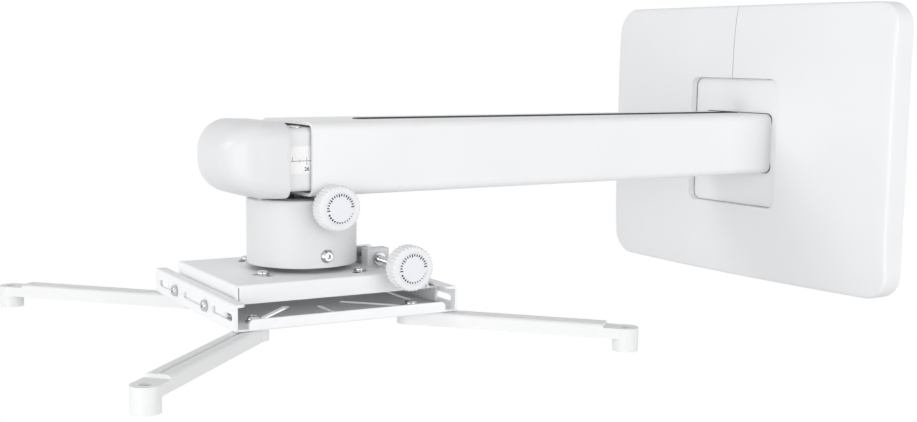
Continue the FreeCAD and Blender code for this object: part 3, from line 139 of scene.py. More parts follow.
# %% Sky
SKY_EDGE = 1.0
SKY_OVERHEAD = 0.36
sky = bpy.data.worlds.new("studio_sky")
sky.use_nodes = True
nodes, links = sky.node_tree.nodes, sky.node_tree.links
upward = nodes.new("ShaderNodeSeparateXYZ")
links.new(nodes.new("ShaderNodeTexCoord").outputs["Generated"], upward.inputs[0])
slope = nodes.new("ShaderNodeMapRange")
slope.inputs["To Min"].default_value = SKY_EDGE
slope.inputs["To Max"].default_value = SKY_OVERHEAD
links.new(upward.outputs["Z"], slope.inputs["Value"])
level = nodes.new("ShaderNodeMapRange")
level.inputs["To Max"].default_value = 1.0
links.new(slope.outputs["Result"], level.inputs["To Min"])
links.new(white_to_viewer(nodes, links), level.inputs["Value"])
nodes["Background"].inputs["Color"].default_value = (1, 1, 1, 1)
links.new(level.outputs["Result"], nodes["Background"].inputs["Strength"])
bpy.context.scene.world = sky
print("sky from", SKY_EDGE, "at the horizon to", SKY_OVERHEAD, "overhead")

# %% Lamps
ARM_MIDDLE = Vector((0, -0.35, -0.04))


def soft_lamp(name, place, wide, watts):
    """A square lamp at a place, turned to the arm's middle."""
    data = bpy.data.lights.new(name, "AREA")
    data.shape = "SQUARE"
    data.size = wide
    data.energy = watts
    lamp = bpy.data.objects.new(name, data)
    lamp.location = place
    lamp.rotation_euler = (ARM_MIDDLE - Vector(place)).to_track_quat("-Z", "Y").to_euler()
    bpy.context.scene.collection.objects.link(lamp)


soft_lamp("side_lamp", place=(3.0, 0.05, 0.35), wide=2.0, watts=25)
soft_lamp("front_lamp", place=(-0.6, -3.3, 0.95), wide=0.7, watts=15)
soft_lamp("low_lamp", place=(1.3, -2.9, -0.3), wide=1.6, watts=25)

# %% [markdown]
# ## Finishes
# Almost everything here is white, so the finishes differ in small ways: how glossy they are, how fine
# their grain is, and how warm the white is. A picture of paint could be wrapped round each piece, but it
# would show its pixels from close by, so each finish is made from nodes. A broad noise shifts the colour
# by a hair, a second one varies the gloss, and a fine one makes the grain of powder coat or moulded
# plastic as a bump. Metal is made in the same way, with stronger and finer streaks. The noises read
# Object coordinates, so the grain stays on the piece when it moves.

# %% Patterns
PATTERN_LOW, PATTERN_HIGH = 0.3, 0.7


def noise(nodes, links, place, scale, detail):
    """A noise pattern with a number of grains per metre."""
    pattern = nodes.new("ShaderNodeTexNoise")
    pattern.inputs["Scale"].default_value = scale
    pattern.inputs["Detail"].default_value = detail
    links.new(place, pattern.inputs["Vector"])
    return pattern.outputs["Fac"]


def spread(nodes, links, value, low, high):
    """A pattern's value carried to a range."""
    range_node = nodes.new("ShaderNodeMapRange")
    range_node.inputs["From Min"].default_value = PATTERN_LOW
    range_node.inputs["From Max"].default_value = PATTERN_HIGH
    range_node.inputs["To Min"].default_value = low
    range_node.inputs["To Max"].default_value = high
    links.new(value, range_node.inputs["Value"])
    return range_node.outputs["Result"]


def two_shades(nodes, links, value, dark, light):
    """A colour between two shades, by a pattern."""
    ramp = nodes.new("ShaderNodeValToRGB")
    ramp.color_ramp.elements[0].position = PATTERN_LOW
    ramp.color_ramp.elements[0].color = (*dark, 1)
    ramp.color_ramp.elements[1].position = PATTERN_HIGH
    ramp.color_ramp.elements[1].color = (*light, 1)
    links.new(value, ramp.inputs["Fac"])
    return ramp.outputs["Color"]


print("patterns are read between", PATTERN_LOW, "and", PATTERN_HIGH)

# %% Painted, moulded and plated finishes
COAT_CLOUD, COAT_DRIFT, COAT_BUMP = 14.0, 0.02, 0.35
COAT_ROUGH_SWING = 0.05
METAL_TONE, METAL_BUMP, METAL_RELIEF = 0.12, 0.15, 0.02 * MM
METAL_ROUGH_LOW, METAL_ROUGH_HIGH = 0.7, 1.3


def surface(name, colour, drift, cloud, rough, sheen, bump_strength, relief, grain, metal=0.0):
    """A finish from noises of (scale, detail): cloud for colour, sheen for roughness, grain for bump."""
    made = bpy.data.materials.new(name)
    made.use_nodes = True
    nodes, links = made.node_tree.nodes, made.node_tree.links
    shader = nodes["Principled BSDF"]
    shader.inputs["Metallic"].default_value = metal
    place = nodes.new("ShaderNodeTexCoord").outputs["Object"]
    dark = tuple(c * (1 - drift) for c in colour)
    links.new(two_shades(nodes, links, noise(nodes, links, place, *cloud), dark, colour),
              shader.inputs["Base Color"])
    links.new(spread(nodes, links, noise(nodes, links, place, *sheen), *rough), shader.inputs["Roughness"])
    bump = nodes.new("ShaderNodeBump")
    bump.inputs["Strength"].default_value = bump_strength
    bump.inputs["Distance"].default_value = relief
    links.new(noise(nodes, links, place, *grain), bump.inputs["Height"])
    links.new(bump.outputs["Normal"], shader.inputs["Normal"])
    return made


def coated(name, colour, rough, grain, relief):
    """Paint or plastic: a slight drift in colour, a roughness that varies, and so many grains per metre."""
    rough_range = (rough - COAT_ROUGH_SWING, rough + COAT_ROUGH_SWING)
    return surface(name, colour, COAT_DRIFT, (COAT_CLOUD, 3), rough_range, (grain / 5, 2),
                   COAT_BUMP, relief, (grain, 3))


def plated(name, colour, rough, streak):
    """Bare or plated metal: a mirror with fine streaks that vary its gloss and tone."""
    rough_range = (rough * METAL_ROUGH_LOW, rough * METAL_ROUGH_HIGH)
    return surface(name, colour, METAL_TONE, (streak / 3, 4), rough_range, (streak, 3),
                   METAL_BUMP, METAL_RELIEF, (streak, 2), metal=1.0)


print(f"paint drifts by {COAT_DRIFT:.0%} in tone, metal by {METAL_TONE:.0%}")

# %% A finish for every piece of the CAD
# Paint and plastic: colour, roughness, grains per metre, relief. Metal: colour, roughness, streaks per metre.
finish = {
    "white_steel": coated("plate_powder_coat", (0.91, 0.917, 0.93), 0.42, 1100, 0.03 * MM),
    "arm_white": coated("arm_powder_coat", (0.88, 0.885, 0.895), 0.36, 900, 0.03 * MM),
    "neck_white": coated("neck_paint", (0.73, 0.735, 0.74), 0.45, 800, 0.04 * MM),
    "leg_white": coated("leg_paint", (0.835, 0.84, 0.845), 0.46, 800, 0.05 * MM),
    "cover_plastic": coated("cover_moulding", (0.88, 0.89, 0.905), 0.50, 1400, 0.04 * MM),
    "white_plastic": coated("hood_moulding", (0.765, 0.77, 0.785), 0.36, 1500, 0.008 * MM),
    "knob_plastic": coated("knob_moulding", (0.83, 0.835, 0.85), 0.40, 900, 0.02 * MM),
    "knob_cap": coated("knob_cap_moulding", (0.81, 0.825, 0.87), 0.33, 900, 0.015 * MM),
    "scale_label": coated("label_film", (0.89, 0.89, 0.895), 0.30, 500, 0.01 * MM),
    "glide_plastic": coated("glide_moulding", (0.26, 0.26, 0.27), 0.50, 900, 0.03 * MM),
    "chrome": plated("screw_chrome", (0.60, 0.61, 0.63), 0.12, 1500),
    "zinc": plated("hardware_zinc", (0.60, 0.61, 0.63), 0.28, 1200),
    "bush_brass": plated("bush_brass", (0.66, 0.50, 0.24), 0.25, 900),
}
for row in frame["record"]["subparts"]:
    node = frame["nodes"][row["node"]]
    node.data.materials.clear()
    node.data.materials.append(finish[row["material_slot"]])
slide_paint = coated("slide_paint", (0.80, 0.805, 0.815), 0.36, 900, 0.03 * MM)
frame["nodes"]["slide_tube"].data.materials[0] = slide_paint
print("finishes:", len(finish) + 1)

# %% [markdown]
# ## Making meshes from grids
# Every new piece is a surface over a grid: one parameter runs along a profile, the other goes round or
# along. The whole grid is worked out at once as an array of points. Neighbouring grid points become
# four-sided faces. Where a grid closes on itself, or ends in a point, its double points are merged, so
# that no seam stays open.

# %% Faces of a grid
def grid_faces(rows, columns, first):
    """Corner numbers of the faces between the points of one grid, counted from first."""
    corner = np.arange(rows - 1)[:, None] * columns + np.arange(columns - 1)[None, :]
    faces = np.stack([corner, corner + 1, corner + columns + 1, corner + columns], axis=-1)
    return faces.reshape(-1, 4) + first


print("faces of a grid of 3 by 4 points:", len(grid_faces(3, 4, 0)))


# %% A piece from grids
SHARP = math.radians(38)
SAME_POINT = 0.002 * MM


def piece(name, grids, body, slot, stands_for=(), material=None):
    """A mesh object from grids of points in mm, closed, smooth, and riding on a body of the frame."""
    points = np.concatenate([g.reshape(-1, 3) for g in grids]) * MM
    firsts = np.cumsum([0] + [g.shape[0] * g.shape[1] for g in grids])[:-1]
    faces = np.concatenate([grid_faces(g.shape[0], g.shape[1], first) for g, first in zip(grids, firsts)])
    mesh = bpy.data.meshes.new(name)
    mesh.from_pydata(points.tolist(), [], faces.tolist())
    shape = bmesh.new()
    shape.from_mesh(mesh)
    bmesh.ops.remove_doubles(shape, verts=shape.verts, dist=SAME_POINT)
    bmesh.ops.recalc_face_normals(shape, faces=shape.faces)
    shape.to_mesh(mesh)
    shape.free()
    mesh.shade_smooth()
    mesh.set_sharp_from_angle(angle=SHARP)
    mesh.materials.append(material or finish[slot])
    made = bpy.data.objects.new(name, mesh)
    bpy.context.scene.collection.objects.link(made)
    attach(made, body)
    if stands_for:
        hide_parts(*stands_for)
    print(name, "faces:", len(mesh.polygons))
    return made


print("points merge within mm:", SAME_POINT / MM)


# %% Turning and placing
def placed(grid, start, axis, upward=(0, 0, 1)):
    """A grid with its own Z laid along an axis at a start point, its own Y turned upward."""
    along = np.array(axis, float) / np.linalg.norm(axis)
    side = np.cross(upward, along)
    if np.linalg.norm(side) < 1e-6:
        side = np.array((1.0, 0, 0))
    side = side / np.linalg.norm(side)
    up = np.cross(along, side)
    return grid @ np.stack([side, up, along]) + np.array(start, float)


def around(radius, height, turn):
    """Points round the Z axis: (radius x cos turn, radius x sin turn, height)."""
    return np.stack(np.broadcast_arrays(radius * np.cos(turn), radius * np.sin(turn), height), axis=-1)


def full_turn(steps):
    """Angles of one turn about an axis, back to where it began."""
    return np.linspace(0, 2 * np.pi, steps + 1)


def quarter_turn(count):
    """Angles of a quarter turn, for a rounded edge or corner."""
    return np.linspace(0, np.pi / 2, count)


def smooth_step(share):
    """A share from zero to one with soft ends: 3 share squared - 2 share cubed."""
    return share * share * (3 - 2 * share)


print("a quarter of a smooth step:", smooth_step(0.25))

# %% [markdown]
# ## The hood
# The arm ends in a moulded hood. Its edges are tight at the mouth, where it meets the arm, and grow full
# and round towards the nose. A bevel of one size cannot do that. So two outlines are drawn as seen from
# above: the hood's own and that of its flat top. A quarter ellipse leads from each point of the first to
# its partner on the second, and its height grows on the way to the nose. Flat grids close the top and the
# underside. At the mouth a lip turns in to the slide, and the underside has a notch where the neck's lug
# comes up. One half is worked out and mirrored, and a Solidify modifier gives the shell its wall.

# %% Hood outline
HOOD_MOUTH, HOOD_TIP = -565.0, -616.0
HOOD_HALF_X, HOOD_HALF_Z = 47.5, 30.0
HOOD_DROP = 1.0
NOSE_RADIUS = 34.0
MOUTH_EDGE, MOUTH_EDGE_LOW, NOSE_EDGE = 14.5, 11.0, 28.0
NOSE_LIFT = 2.2
NOTCH_HALF, NOTCH_END = 16.5, -579.3
HOOD_WALL = 2.5
SLIDE_HALF_X, SLIDE_HALF_Z, SLIDE_CORNER = 43.0, 25.5, 4.5
LIP_GAP = 0.15
LIP_ROUND = 0.9
NOTCH_STEPS, BEND_STEPS, NOSE_STEPS, EDGE_STEPS, LIP_STEPS, FLAT_STEPS = 9, 4, 25, 13, 5, 5
TONGUE_SHARE = 0.6
FLAT_SHARES = np.concatenate([np.linspace(1, TONGUE_SHARE, FLAT_STEPS),
                              np.linspace(TONGUE_SHARE, 0, FLAT_STEPS)[1:]])
MIRRORED = ((1, 1, 1), (-1, 1, 1))


def hood_outline(mouth_edge):
    """The right half from above: outline points, partners on the flat top, and the edge's height at each."""
    bend_y = HOOD_TIP + NOSE_RADIUS
    side_y = np.concatenate([np.linspace(HOOD_MOUTH - LIP_ROUND, NOTCH_END, NOTCH_STEPS),
                             np.linspace(NOTCH_END, bend_y, BEND_STEPS)[1:-1]])
    turn = quarter_turn(NOSE_STEPS)
    nose_x = HOOD_HALF_X - NOSE_RADIUS
    side = np.stack([np.full(len(side_y), HOOD_HALF_X), side_y], axis=1)
    arc = np.stack([nose_x + NOSE_RADIUS * np.cos(turn), bend_y - NOSE_RADIUS * np.sin(turn)], axis=1)
    front = np.stack([nose_x * FLAT_SHARES[1:], np.full(len(FLAT_SHARES) - 1, HOOD_TIP)], axis=1)
    points = np.concatenate([side, arc, front])
    way = np.concatenate([[0], np.cumsum(np.linalg.norm(np.diff(points, axis=0), axis=1))])
    share = np.clip(way / way[len(side) + len(arc) - 1], 0, 1)
    edge = mouth_edge + (NOSE_EDGE - mouth_edge) * smooth_step(share)
    bend_x = HOOD_HALF_X - edge[len(side)]
    flat_side = np.stack([HOOD_HALF_X - edge[:len(side)], side_y], axis=1)
    flat_arc = np.stack([nose_x + (bend_x - nose_x) * np.cos(turn),
                         bend_y - (NOSE_RADIUS - NOSE_EDGE) * np.sin(turn)], axis=1)
    flat_front = front + np.array((0, NOSE_EDGE))
    return points, np.concatenate([flat_side, flat_arc, flat_front]), edge


print("points on half of the hood's outline:", len(hood_outline(MOUTH_EDGE)[0]))


# %% Hood lip and edges
def mouth_lip(mouth):
    """Rows from the slide's rounded outline out to the hood's mouth, the last ones a quarter circle."""
    core = np.array((SLIDE_HALF_X, SLIDE_HALF_Z)) - SLIDE_CORNER
    flat = mouth[:, [0, 2]]
    near = np.clip(flat, -core, core)
    out = flat - near
    out = out / np.linalg.norm(out, axis=1, keepdims=True)
    inner = near + out * (SLIDE_CORNER + LIP_GAP)
    swing = quarter_turn(LIP_STEPS)
    rows = [inner, inner] + [flat - out * LIP_ROUND * (1 - math.sin(turn)) for turn in swing]
    back = [LIP_ROUND, 0] + [LIP_ROUND * (1 - math.cos(turn)) for turn in swing]
    return np.stack([np.stack([row[:, 0], np.full(len(row), HOOD_MOUTH - step), row[:, 1]], axis=1)
                     for row, step in zip(rows, back)])


def flat_grid(x, y, z):
    """A level grid: its own x at each point, one y for each row, one z for all."""
    return np.stack([x, np.broadcast_to(y[:, None], x.shape), np.full(x.shape, z)], axis=-1)


def hood_edge(mouth_edge):
    """Edge point = outline + (partner - outline) (1 - cos), height = half height - edge (1 - sin)."""
    points, partners, edge = hood_outline(mouth_edge)
    swing = quarter_turn(EDGE_STEPS)
    corner = points[:, None] + (partners - points)[:, None] * (1 - np.cos(swing))[:, None]
    rise = HOOD_HALF_Z - edge[:, None] * (1 - np.sin(swing))
    return points[:, 1], np.concatenate([corner, rise[..., None]], axis=-1)


def nose_lifted(grid):
    """A grid of the hood raised towards the nose, by a smooth step of the way from mouth to tip."""
    start = HOOD_MOUTH - LIP_ROUND
    lift = NOSE_LIFT * smooth_step(np.clip((start - grid[..., 1]) / (start - HOOD_TIP), 0, 1))
    return grid + lift[..., None] * np.array((0, 0, 1.0))


print("hood edge grid:", hood_edge(MOUTH_EDGE)[1].shape)


# %% Hood shell
def hood_grids():
    """Rounded edges above and below, flat top, underside beside the notch and past it, and lip; mirrored."""
    outline_y, upper = hood_edge(MOUTH_EDGE)
    outline_y, lower = hood_edge(MOUTH_EDGE_LOW)
    lower = lower[:, ::-1] * (1, 1, -1) - (0, 0, HOOD_DROP)
    rows = len(outline_y) - len(FLAT_SHARES) + 1
    top = flat_grid(upper[:rows, -1:, 0] * FLAT_SHARES, upper[:rows, -1, 1], HOOD_HALF_Z)
    reach, level_y = lower[:rows, 0, 0], lower[:rows, 0, 1]
    straight = outline_y[:rows] >= NOTCH_END - SAME_POINT
    notch = np.where(straight, NOTCH_HALF, TONGUE_SHARE * reach)
    across = np.linspace(0, 1, FLAT_STEPS)
    under_x = notch[:, None] + (reach - notch)[:, None] * across
    under = flat_grid(under_x, level_y, -HOOD_HALF_Z - HOOD_DROP)
    closed = outline_y[:rows] <= NOTCH_END + SAME_POINT
    tongue = flat_grid(notch[closed][:, None] * across, level_y[closed], -HOOD_HALF_Z - HOOD_DROP)
    lip = mouth_lip(np.concatenate([under[0], lower[0], upper[0], top[0]]))
    edges = np.concatenate([lower, upper], axis=1)
    half = [nose_lifted(grid) for grid in (edges, top, under, tongue)] + [lip]
    return [grid * mirror for grid in half for mirror in MIRRORED]


hood_shell = piece("hood_shell", hood_grids(), "carriage", "white_plastic", ["hood"])
wall = hood_shell.modifiers.new("wall", "SOLIDIFY")
wall.thickness = HOOD_WALL * MM
wall.offset = -1.0

# %% [markdown]
# ## The plate cover
# The cover is moulded with a slight crown: its front stands out most in the middle and falls away to the
# sides, and faster near its top and bottom. The front is a sheet between two outlines, the window's and
# the cover's own. Every point of one outline has a partner on the other, and a share from zero to one
# leads across. The outlines begin and end at the slit above the window, so the slit stays open. A second
# sheet, one wall behind the first, makes the inside, and narrow strips join the two.

# %% Cover outlines and crown
COVER_HALF = np.array((194.0, 140.5))
COVER_CORNER = 24.0
WINDOW_HALF = np.array((61.55, 65.55))
WINDOW_CORNER = 10.0
SLIT_HALF = 0.4
COVER_RIM = 19.0
CROWN_ACROSS, CROWN_UP = 10.5, 5.5
CORNER_STEPS, TOP_STEPS, SIDE_STEPS = 10, 13, 24


def ring_points(half, corner, grow):
    """A rounded rectangle, grown by so much, from one side of the slit all the way round to the other."""
    wide, high = half - corner
    corner = corner + grow
    swing = quarter_turn(CORNER_STEPS)
    turn_x, turn_z = corner * np.sin(swing), corner * np.cos(swing)
    top_x = np.linspace(SLIT_HALF, wide, TOP_STEPS)[:-1]
    side_z = np.linspace(high, -high, SIDE_STEPS)[1:-1]
    low_x = np.linspace(wide, 0, TOP_STEPS)[1:]
    x = np.concatenate([top_x, wide + turn_x, np.full(len(side_z), wide + corner), wide + turn_z, low_x])
    z = np.concatenate([np.full(len(top_x), high + corner), high + turn_z, side_z, -high - turn_x,
                        np.full(len(low_x), -high - corner)])
    near = np.stack([x, z], axis=1)
    return np.concatenate([near, near[-2::-1] * (-1, 1)])


def crown(flat):
    """Front at x and z = -(rim + across (1 - x share squared) + up (1 - z share to the sixth))."""
    share = flat / COVER_HALF
    return -(COVER_RIM + CROWN_ACROSS * (1 - share[..., 0] ** 2) + CROWN_UP * (1 - share[..., 1] ** 6))


print("cover front at its middle in mm:", crown(np.zeros(2)))


# %% Cover shell
COVER_WALL = 3.0
COVER_ROUND, WINDOW_ROUND = 3.0, 0.8
WINDOW_BACK = 25.5
ROUND_STEPS, SHEET_STEPS = 6, 20
WALL_SHARES = (0.5, 1.0)


def cover_sheet(steps):
    """Steps of outline and depth behind the crown, stacked to a grid of points."""
    flat = np.stack([outline for outline, depth in steps], axis=1)
    depth = np.stack([np.broadcast_to(depth, len(outline)) for outline, depth in steps], axis=1)
    return np.stack([flat[..., 0], np.minimum(crown(flat) + depth, 0), flat[..., 1]], axis=-1)


def cover_grids():
    """Window wall, rounded edge, sheet, rounded edge and side wall; then the same again one wall behind."""
    swing = quarter_turn(ROUND_STEPS)
    shares = np.linspace(0, 1, SHEET_STEPS)[1:-1]
    outer = ring_points(COVER_HALF, COVER_CORNER, 0)
    window_in = ring_points(WINDOW_HALF, WINDOW_CORNER, WINDOW_ROUND)
    cover_in = ring_points(COVER_HALF, COVER_CORNER, -COVER_ROUND)
    back = -crown(outer) - COVER_ROUND
    window_edge = ring_points(WINDOW_HALF, WINDOW_CORNER, 0)
    front = [(window_edge, -crown(window_edge) - WINDOW_BACK)]
    front += [(ring_points(WINDOW_HALF, WINDOW_CORNER, WINDOW_ROUND * (1 - math.cos(s))),
               WINDOW_ROUND * (1 - math.sin(s))) for s in swing]
    front += [(window_in + (cover_in - window_in) * s, 0) for s in shares]
    front += [(ring_points(COVER_HALF, COVER_CORNER, -COVER_ROUND * (1 - math.sin(s))),
               COVER_ROUND * (1 - math.cos(s))) for s in swing]
    front += [(outer, COVER_ROUND + back * s) for s in WALL_SHARES]
    window_wall = ring_points(WINDOW_HALF, WINDOW_CORNER, COVER_WALL)
    cover_wall = ring_points(COVER_HALF, COVER_CORNER, -COVER_WALL)
    wall_back = -crown(cover_wall)
    rear = [(window_wall, -crown(window_wall) - WINDOW_BACK)] + [(window_wall, COVER_WALL)] * len(swing)
    rear += [(window_wall + (cover_wall - window_wall) * s, COVER_WALL) for s in shares]
    rear += [(cover_wall, COVER_WALL)] * len(swing)
    rear += [(cover_wall, COVER_WALL + (wall_back - COVER_WALL) * s) for s in WALL_SHARES]
    face, inside = cover_sheet(front), cover_sheet(rear)
    strips = [np.stack([face[row], inside[row]]) for row in (0, -1)]
    strips += [np.stack([face[:, column], inside[:, column]]) for column in (0, -1)]
    return [face, inside] + strips


piece("cover_shell", cover_grids(), "wall_mount", "cover_plastic", ["plate_cover"])

# %% [markdown]
# ## The two adjusting knobs
# Each knob is a moulded disc with rounded flutes for the fingers. It could be a cylinder with a circle of
# cut grooves, but a formula is shorter and smoother: the radius of the rim dips with the cosine of the
# angle, once for every flute. The dip fades out towards the flat faces. The profile runs from the bore at
# the back round the rim to the shallow recess of the cap. The head is turned a little on the neck, so its
# pieces are placed in a frame of its own.

# %% The head's own frame
NECK_AXIS = np.array((0, -532.0, 0))
HEAD_TURN = math.radians(-3.2)
HEAD_X = np.array((math.cos(HEAD_TURN), math.sin(HEAD_TURN), 0))
HEAD_Y = np.array((-math.sin(HEAD_TURN), math.cos(HEAD_TURN), 0))
UP = np.array((0, 0, 1.0))


def on_head(x, y, z):
    """A point given across, along and up in the turned head's own frame."""
    return NECK_AXIS + x * HEAD_X + y * HEAD_Y + z * UP


ROLL_KNOB = np.array((52.0, -530.5, -38.3))
YAW_KNOB_X, YAW_KNOB_Y, YAW_KNOB_Z = 79.0, 57.0, -86.4
YAW_KNOB = on_head(YAW_KNOB_X, YAW_KNOB_Y, YAW_KNOB_Z)
print("knobs in mm:", ROLL_KNOB.round(1), YAW_KNOB.round(1))

# %% Fluted knobs
KNOB_RADIUS = 18.5
KNOB_THICK = 14.0
KNOB_BACK_EDGE, KNOB_FRONT_EDGE, KNOB_EDGE_STEPS = 0.8, 1.7, 7
KNOB_FACE, KNOB_FACE_IN, KNOB_BACK_IN = 15.2, 14.2, 10
KNOB_FIT, KNOB_BEVEL = 0.05, 0.15
KNOB_FLUTES, FLUTE_STEPS = 34, 14
FLUTE_DEEP = 0.75
FLUTE_FROM, FLUTE_OVER = 14.6, 2.2
CAP_RADIUS = 13.0
CAP_SINK = 1.0
SCREW_RADIUS = 3.0
SCREW_GRIP = 8.0


def knob_grid():
    """Radius of the rim = profile radius - flute depth x fade x a smooth dip of the cosine of the angle."""
    edge = quarter_turn(KNOB_EDGE_STEPS)
    bore, recess = SCREW_RADIUS + KNOB_FIT, CAP_RADIUS + KNOB_FIT
    seat = KNOB_THICK - CAP_SINK
    radius = np.concatenate([[bore, bore, KNOB_BACK_IN, KNOB_FACE],
                             KNOB_RADIUS - KNOB_BACK_EDGE + KNOB_BACK_EDGE * np.sin(edge),
                             KNOB_RADIUS - KNOB_FRONT_EDGE + KNOB_FRONT_EDGE * np.cos(edge),
                             [KNOB_FACE, KNOB_FACE_IN, recess + KNOB_BEVEL, recess, recess, 0]])
    height = np.concatenate([[SCREW_GRIP, 0, 0, 0], KNOB_BACK_EDGE - KNOB_BACK_EDGE * np.cos(edge),
                             KNOB_THICK - KNOB_FRONT_EDGE + KNOB_FRONT_EDGE * np.sin(edge),
                             [KNOB_THICK] * 3, [KNOB_THICK - KNOB_BEVEL, seat, seat]])
    fade = np.clip((radius - FLUTE_FROM) / FLUTE_OVER, 0, 1)
    turn = full_turn(KNOB_FLUTES * FLUTE_STEPS)
    dip = smooth_step(0.5 + 0.5 * np.cos(KNOB_FLUTES * turn))
    rim = radius[:, None] - FLUTE_DEEP * fade[:, None] * dip[None, :]
    return around(rim, height[:, None], turn)


piece("roll_knob_fluted", [placed(knob_grid(), ROLL_KNOB, (1, 0, 0))], "roll_knob_unit",
      "knob_plastic", ["roll_knob"])
piece("yaw_knob_fluted", [placed(knob_grid(), YAW_KNOB, HEAD_X)], "yaw_knob_unit",
      "knob_plastic", ["yaw_knob"])

# %% [markdown]
# ## Knob caps and their marks
# A thin cap closes each knob. A ring of print runs inside its edge: dots below that grow from right to
# left, as a sign for more and less, and a fan of plain ticks above. The marks are thin slabs on the cap,
# each made from the same small grid, so they stay crisp from close by.

# %% Caps
CAP_THICK = 1.2
CAP_RIM, CAP_RIM_STEPS, CAP_TURN_STEPS = 0.35, 6, 96
CAP_RINGS = (9.0, 5.0, 0.0)
CAPPED = (("roll", ROLL_KNOB, np.array((1.0, 0, 0)), "roll_knob_unit"),
          ("yaw", YAW_KNOB, HEAD_X, "yaw_knob_unit"))


def cap_grid():
    """A flat disc with a rounded rim, closed below."""
    edge = quarter_turn(CAP_RIM_STEPS)
    radius = np.concatenate([[0, CAP_RADIUS], CAP_RADIUS - CAP_RIM + CAP_RIM * np.cos(edge), CAP_RINGS])
    height = np.concatenate([[0, 0], CAP_THICK - CAP_RIM + CAP_RIM * np.sin(edge),
                             [CAP_THICK] * len(CAP_RINGS)])
    return around(radius[:, None], height[:, None], full_turn(CAP_TURN_STEPS))


def cap_seat(start, axis):
    """Where a cap sits in its knob: the knob's place + (thickness - sink) x axis."""
    return start + (KNOB_THICK - CAP_SINK) * axis


for name, start, axis, body in CAPPED:
    piece(f"{name}_knob_cap_disc", [placed(cap_grid(), cap_seat(start, axis), axis)], body, "knob_cap",
          [f"{name}_knob_cap"])

# %% Printed rings
PRINT_THICK, PRINT_SINK = 0.06, 0.01
PRINT_RING = 11.2
DOT_COUNT, DOT_FROM, DOT_TO = 12, 338, 205
DOT_SMALL, DOT_LARGE, DOT_STEPS = 0.45, 0.95, 12
FAN_COUNT, FAN_FROM, FAN_TO = 17, 8, 186
FAN_LONG_EVERY = 4
FAN_IN, FAN_IN_LONG, FAN_OUT, FAN_HALF = 0.9, 1.6, 1.1, 0.52


def slab_grid(outline, low):
    """A flat mark: its outline as a wall, drawn in to its middle above and below."""
    ring = np.concatenate([outline, outline[:1]])
    middle = np.broadcast_to(outline.mean(0), ring.shape)
    flat = [middle, ring, ring, middle]
    level = [low, low, low + PRINT_THICK, low + PRINT_THICK]
    return np.stack([np.concatenate([f, np.full((len(ring), 1), z)], axis=1) for f, z in zip(flat, level)])


def dot_outline(turn, radius):
    """A round dot on the print ring."""
    rim = full_turn(DOT_STEPS)[:-1]
    centre = PRINT_RING * np.array((math.cos(turn), math.sin(turn)))
    return centre + radius * np.stack([np.cos(rim), np.sin(rim)], axis=1)


def tick_outline(turn, inner, outer, half):
    """A radial tick across the print ring."""
    out = np.array((math.cos(turn), math.sin(turn)))
    side = np.array((-out[1], out[0]))
    return np.array([inner * out - half * side, outer * out - half * side,
                     outer * out + half * side, inner * out + half * side])


def print_grids():
    """Dots along the lower arc that grow to the left, and ticks over the upper arc, some of them long."""
    face = CAP_THICK - PRINT_SINK
    dot_turns = np.radians(np.linspace(DOT_FROM, DOT_TO, DOT_COUNT))
    dots = [slab_grid(dot_outline(turn, radius), face)
            for turn, radius in zip(dot_turns, np.linspace(DOT_SMALL, DOT_LARGE, DOT_COUNT))]
    fan_turns = np.radians(np.linspace(FAN_FROM, FAN_TO, FAN_COUNT))
    is_long = np.arange(FAN_COUNT) % FAN_LONG_EVERY == 0
    inner = np.where(is_long, PRINT_RING - FAN_IN_LONG, PRINT_RING - FAN_IN)
    ticks = [slab_grid(tick_outline(turn, start, PRINT_RING + FAN_OUT, FAN_HALF), face)
             for turn, start in zip(fan_turns, inner)]
    return dots + ticks


ink = coated("print_ink", (0.012, 0.012, 0.014), 0.45, 900, 0.005 * MM)
for name, start, axis, body in CAPPED:
    marks = [placed(grid, cap_seat(start, axis), axis) for grid in print_grids()]
    piece(f"{name}_knob_print", marks, body, "glide_plastic", material=ink)

# %% [markdown]
# ## Threads
# The adjusting screws show a bright thread between block and knob. A thread is a rod whose radius rises
# and falls along a helix: the phase is the height over the pitch less the share of a turn. A grid over
# angle and height gives it in one line. The flat ends fade the thread out.

# %% Adjusting screws
THREAD_PITCH, THREAD_DEEP, THREAD_STEPS = 1.0, 0.55, 24
ROWS_A_PITCH = 6
SCREW_PAST = 12.0


def thread_grid(radius, long, pitch, deep, steps):
    """Radius = outer radius minus depth times a triangle wave of (height / pitch - angle / full turn)."""
    row = pitch / ROWS_A_PITCH
    height = np.clip(np.arange(0, long + row / 2, row), 0, long)
    turn = full_turn(steps)
    phase = height[:, None] / pitch - turn[None, :] / (2 * np.pi)
    wave = np.abs(2 * (phase - np.floor(phase)) - 1)
    fade = np.clip(np.minimum(height, long - height) / pitch, 0, 1)[:, None]
    rim = radius - deep * (1 - fade + fade * wave)
    rod = around(rim, height[:, None], turn)
    return np.concatenate([rod[:1] * (0, 0, 1), rod, rod[-1:] * (0, 0, 1)])


def adjusting_screw(reach):
    """A screw from past the middle to its grip inside a knob that sits at a reach from the middle."""
    long = reach + SCREW_GRIP + SCREW_PAST
    return thread_grid(SCREW_RADIUS, long, THREAD_PITCH, THREAD_DEEP, THREAD_STEPS)


roll_start = np.array((-SCREW_PAST, ROLL_KNOB[1], ROLL_KNOB[2]))
piece("roll_screw_thread", [placed(adjusting_screw(ROLL_KNOB[0]), roll_start, (1, 0, 0))],
      "roll_knob_unit", "zinc", ["roll_screw"])
yaw_start = on_head(-SCREW_PAST, YAW_KNOB_Y, YAW_KNOB_Z)
piece("yaw_screw_thread", [placed(adjusting_screw(YAW_KNOB_X), yaw_start, HEAD_X)],
      "yaw_knob_unit", "zinc", ["yaw_screw"])

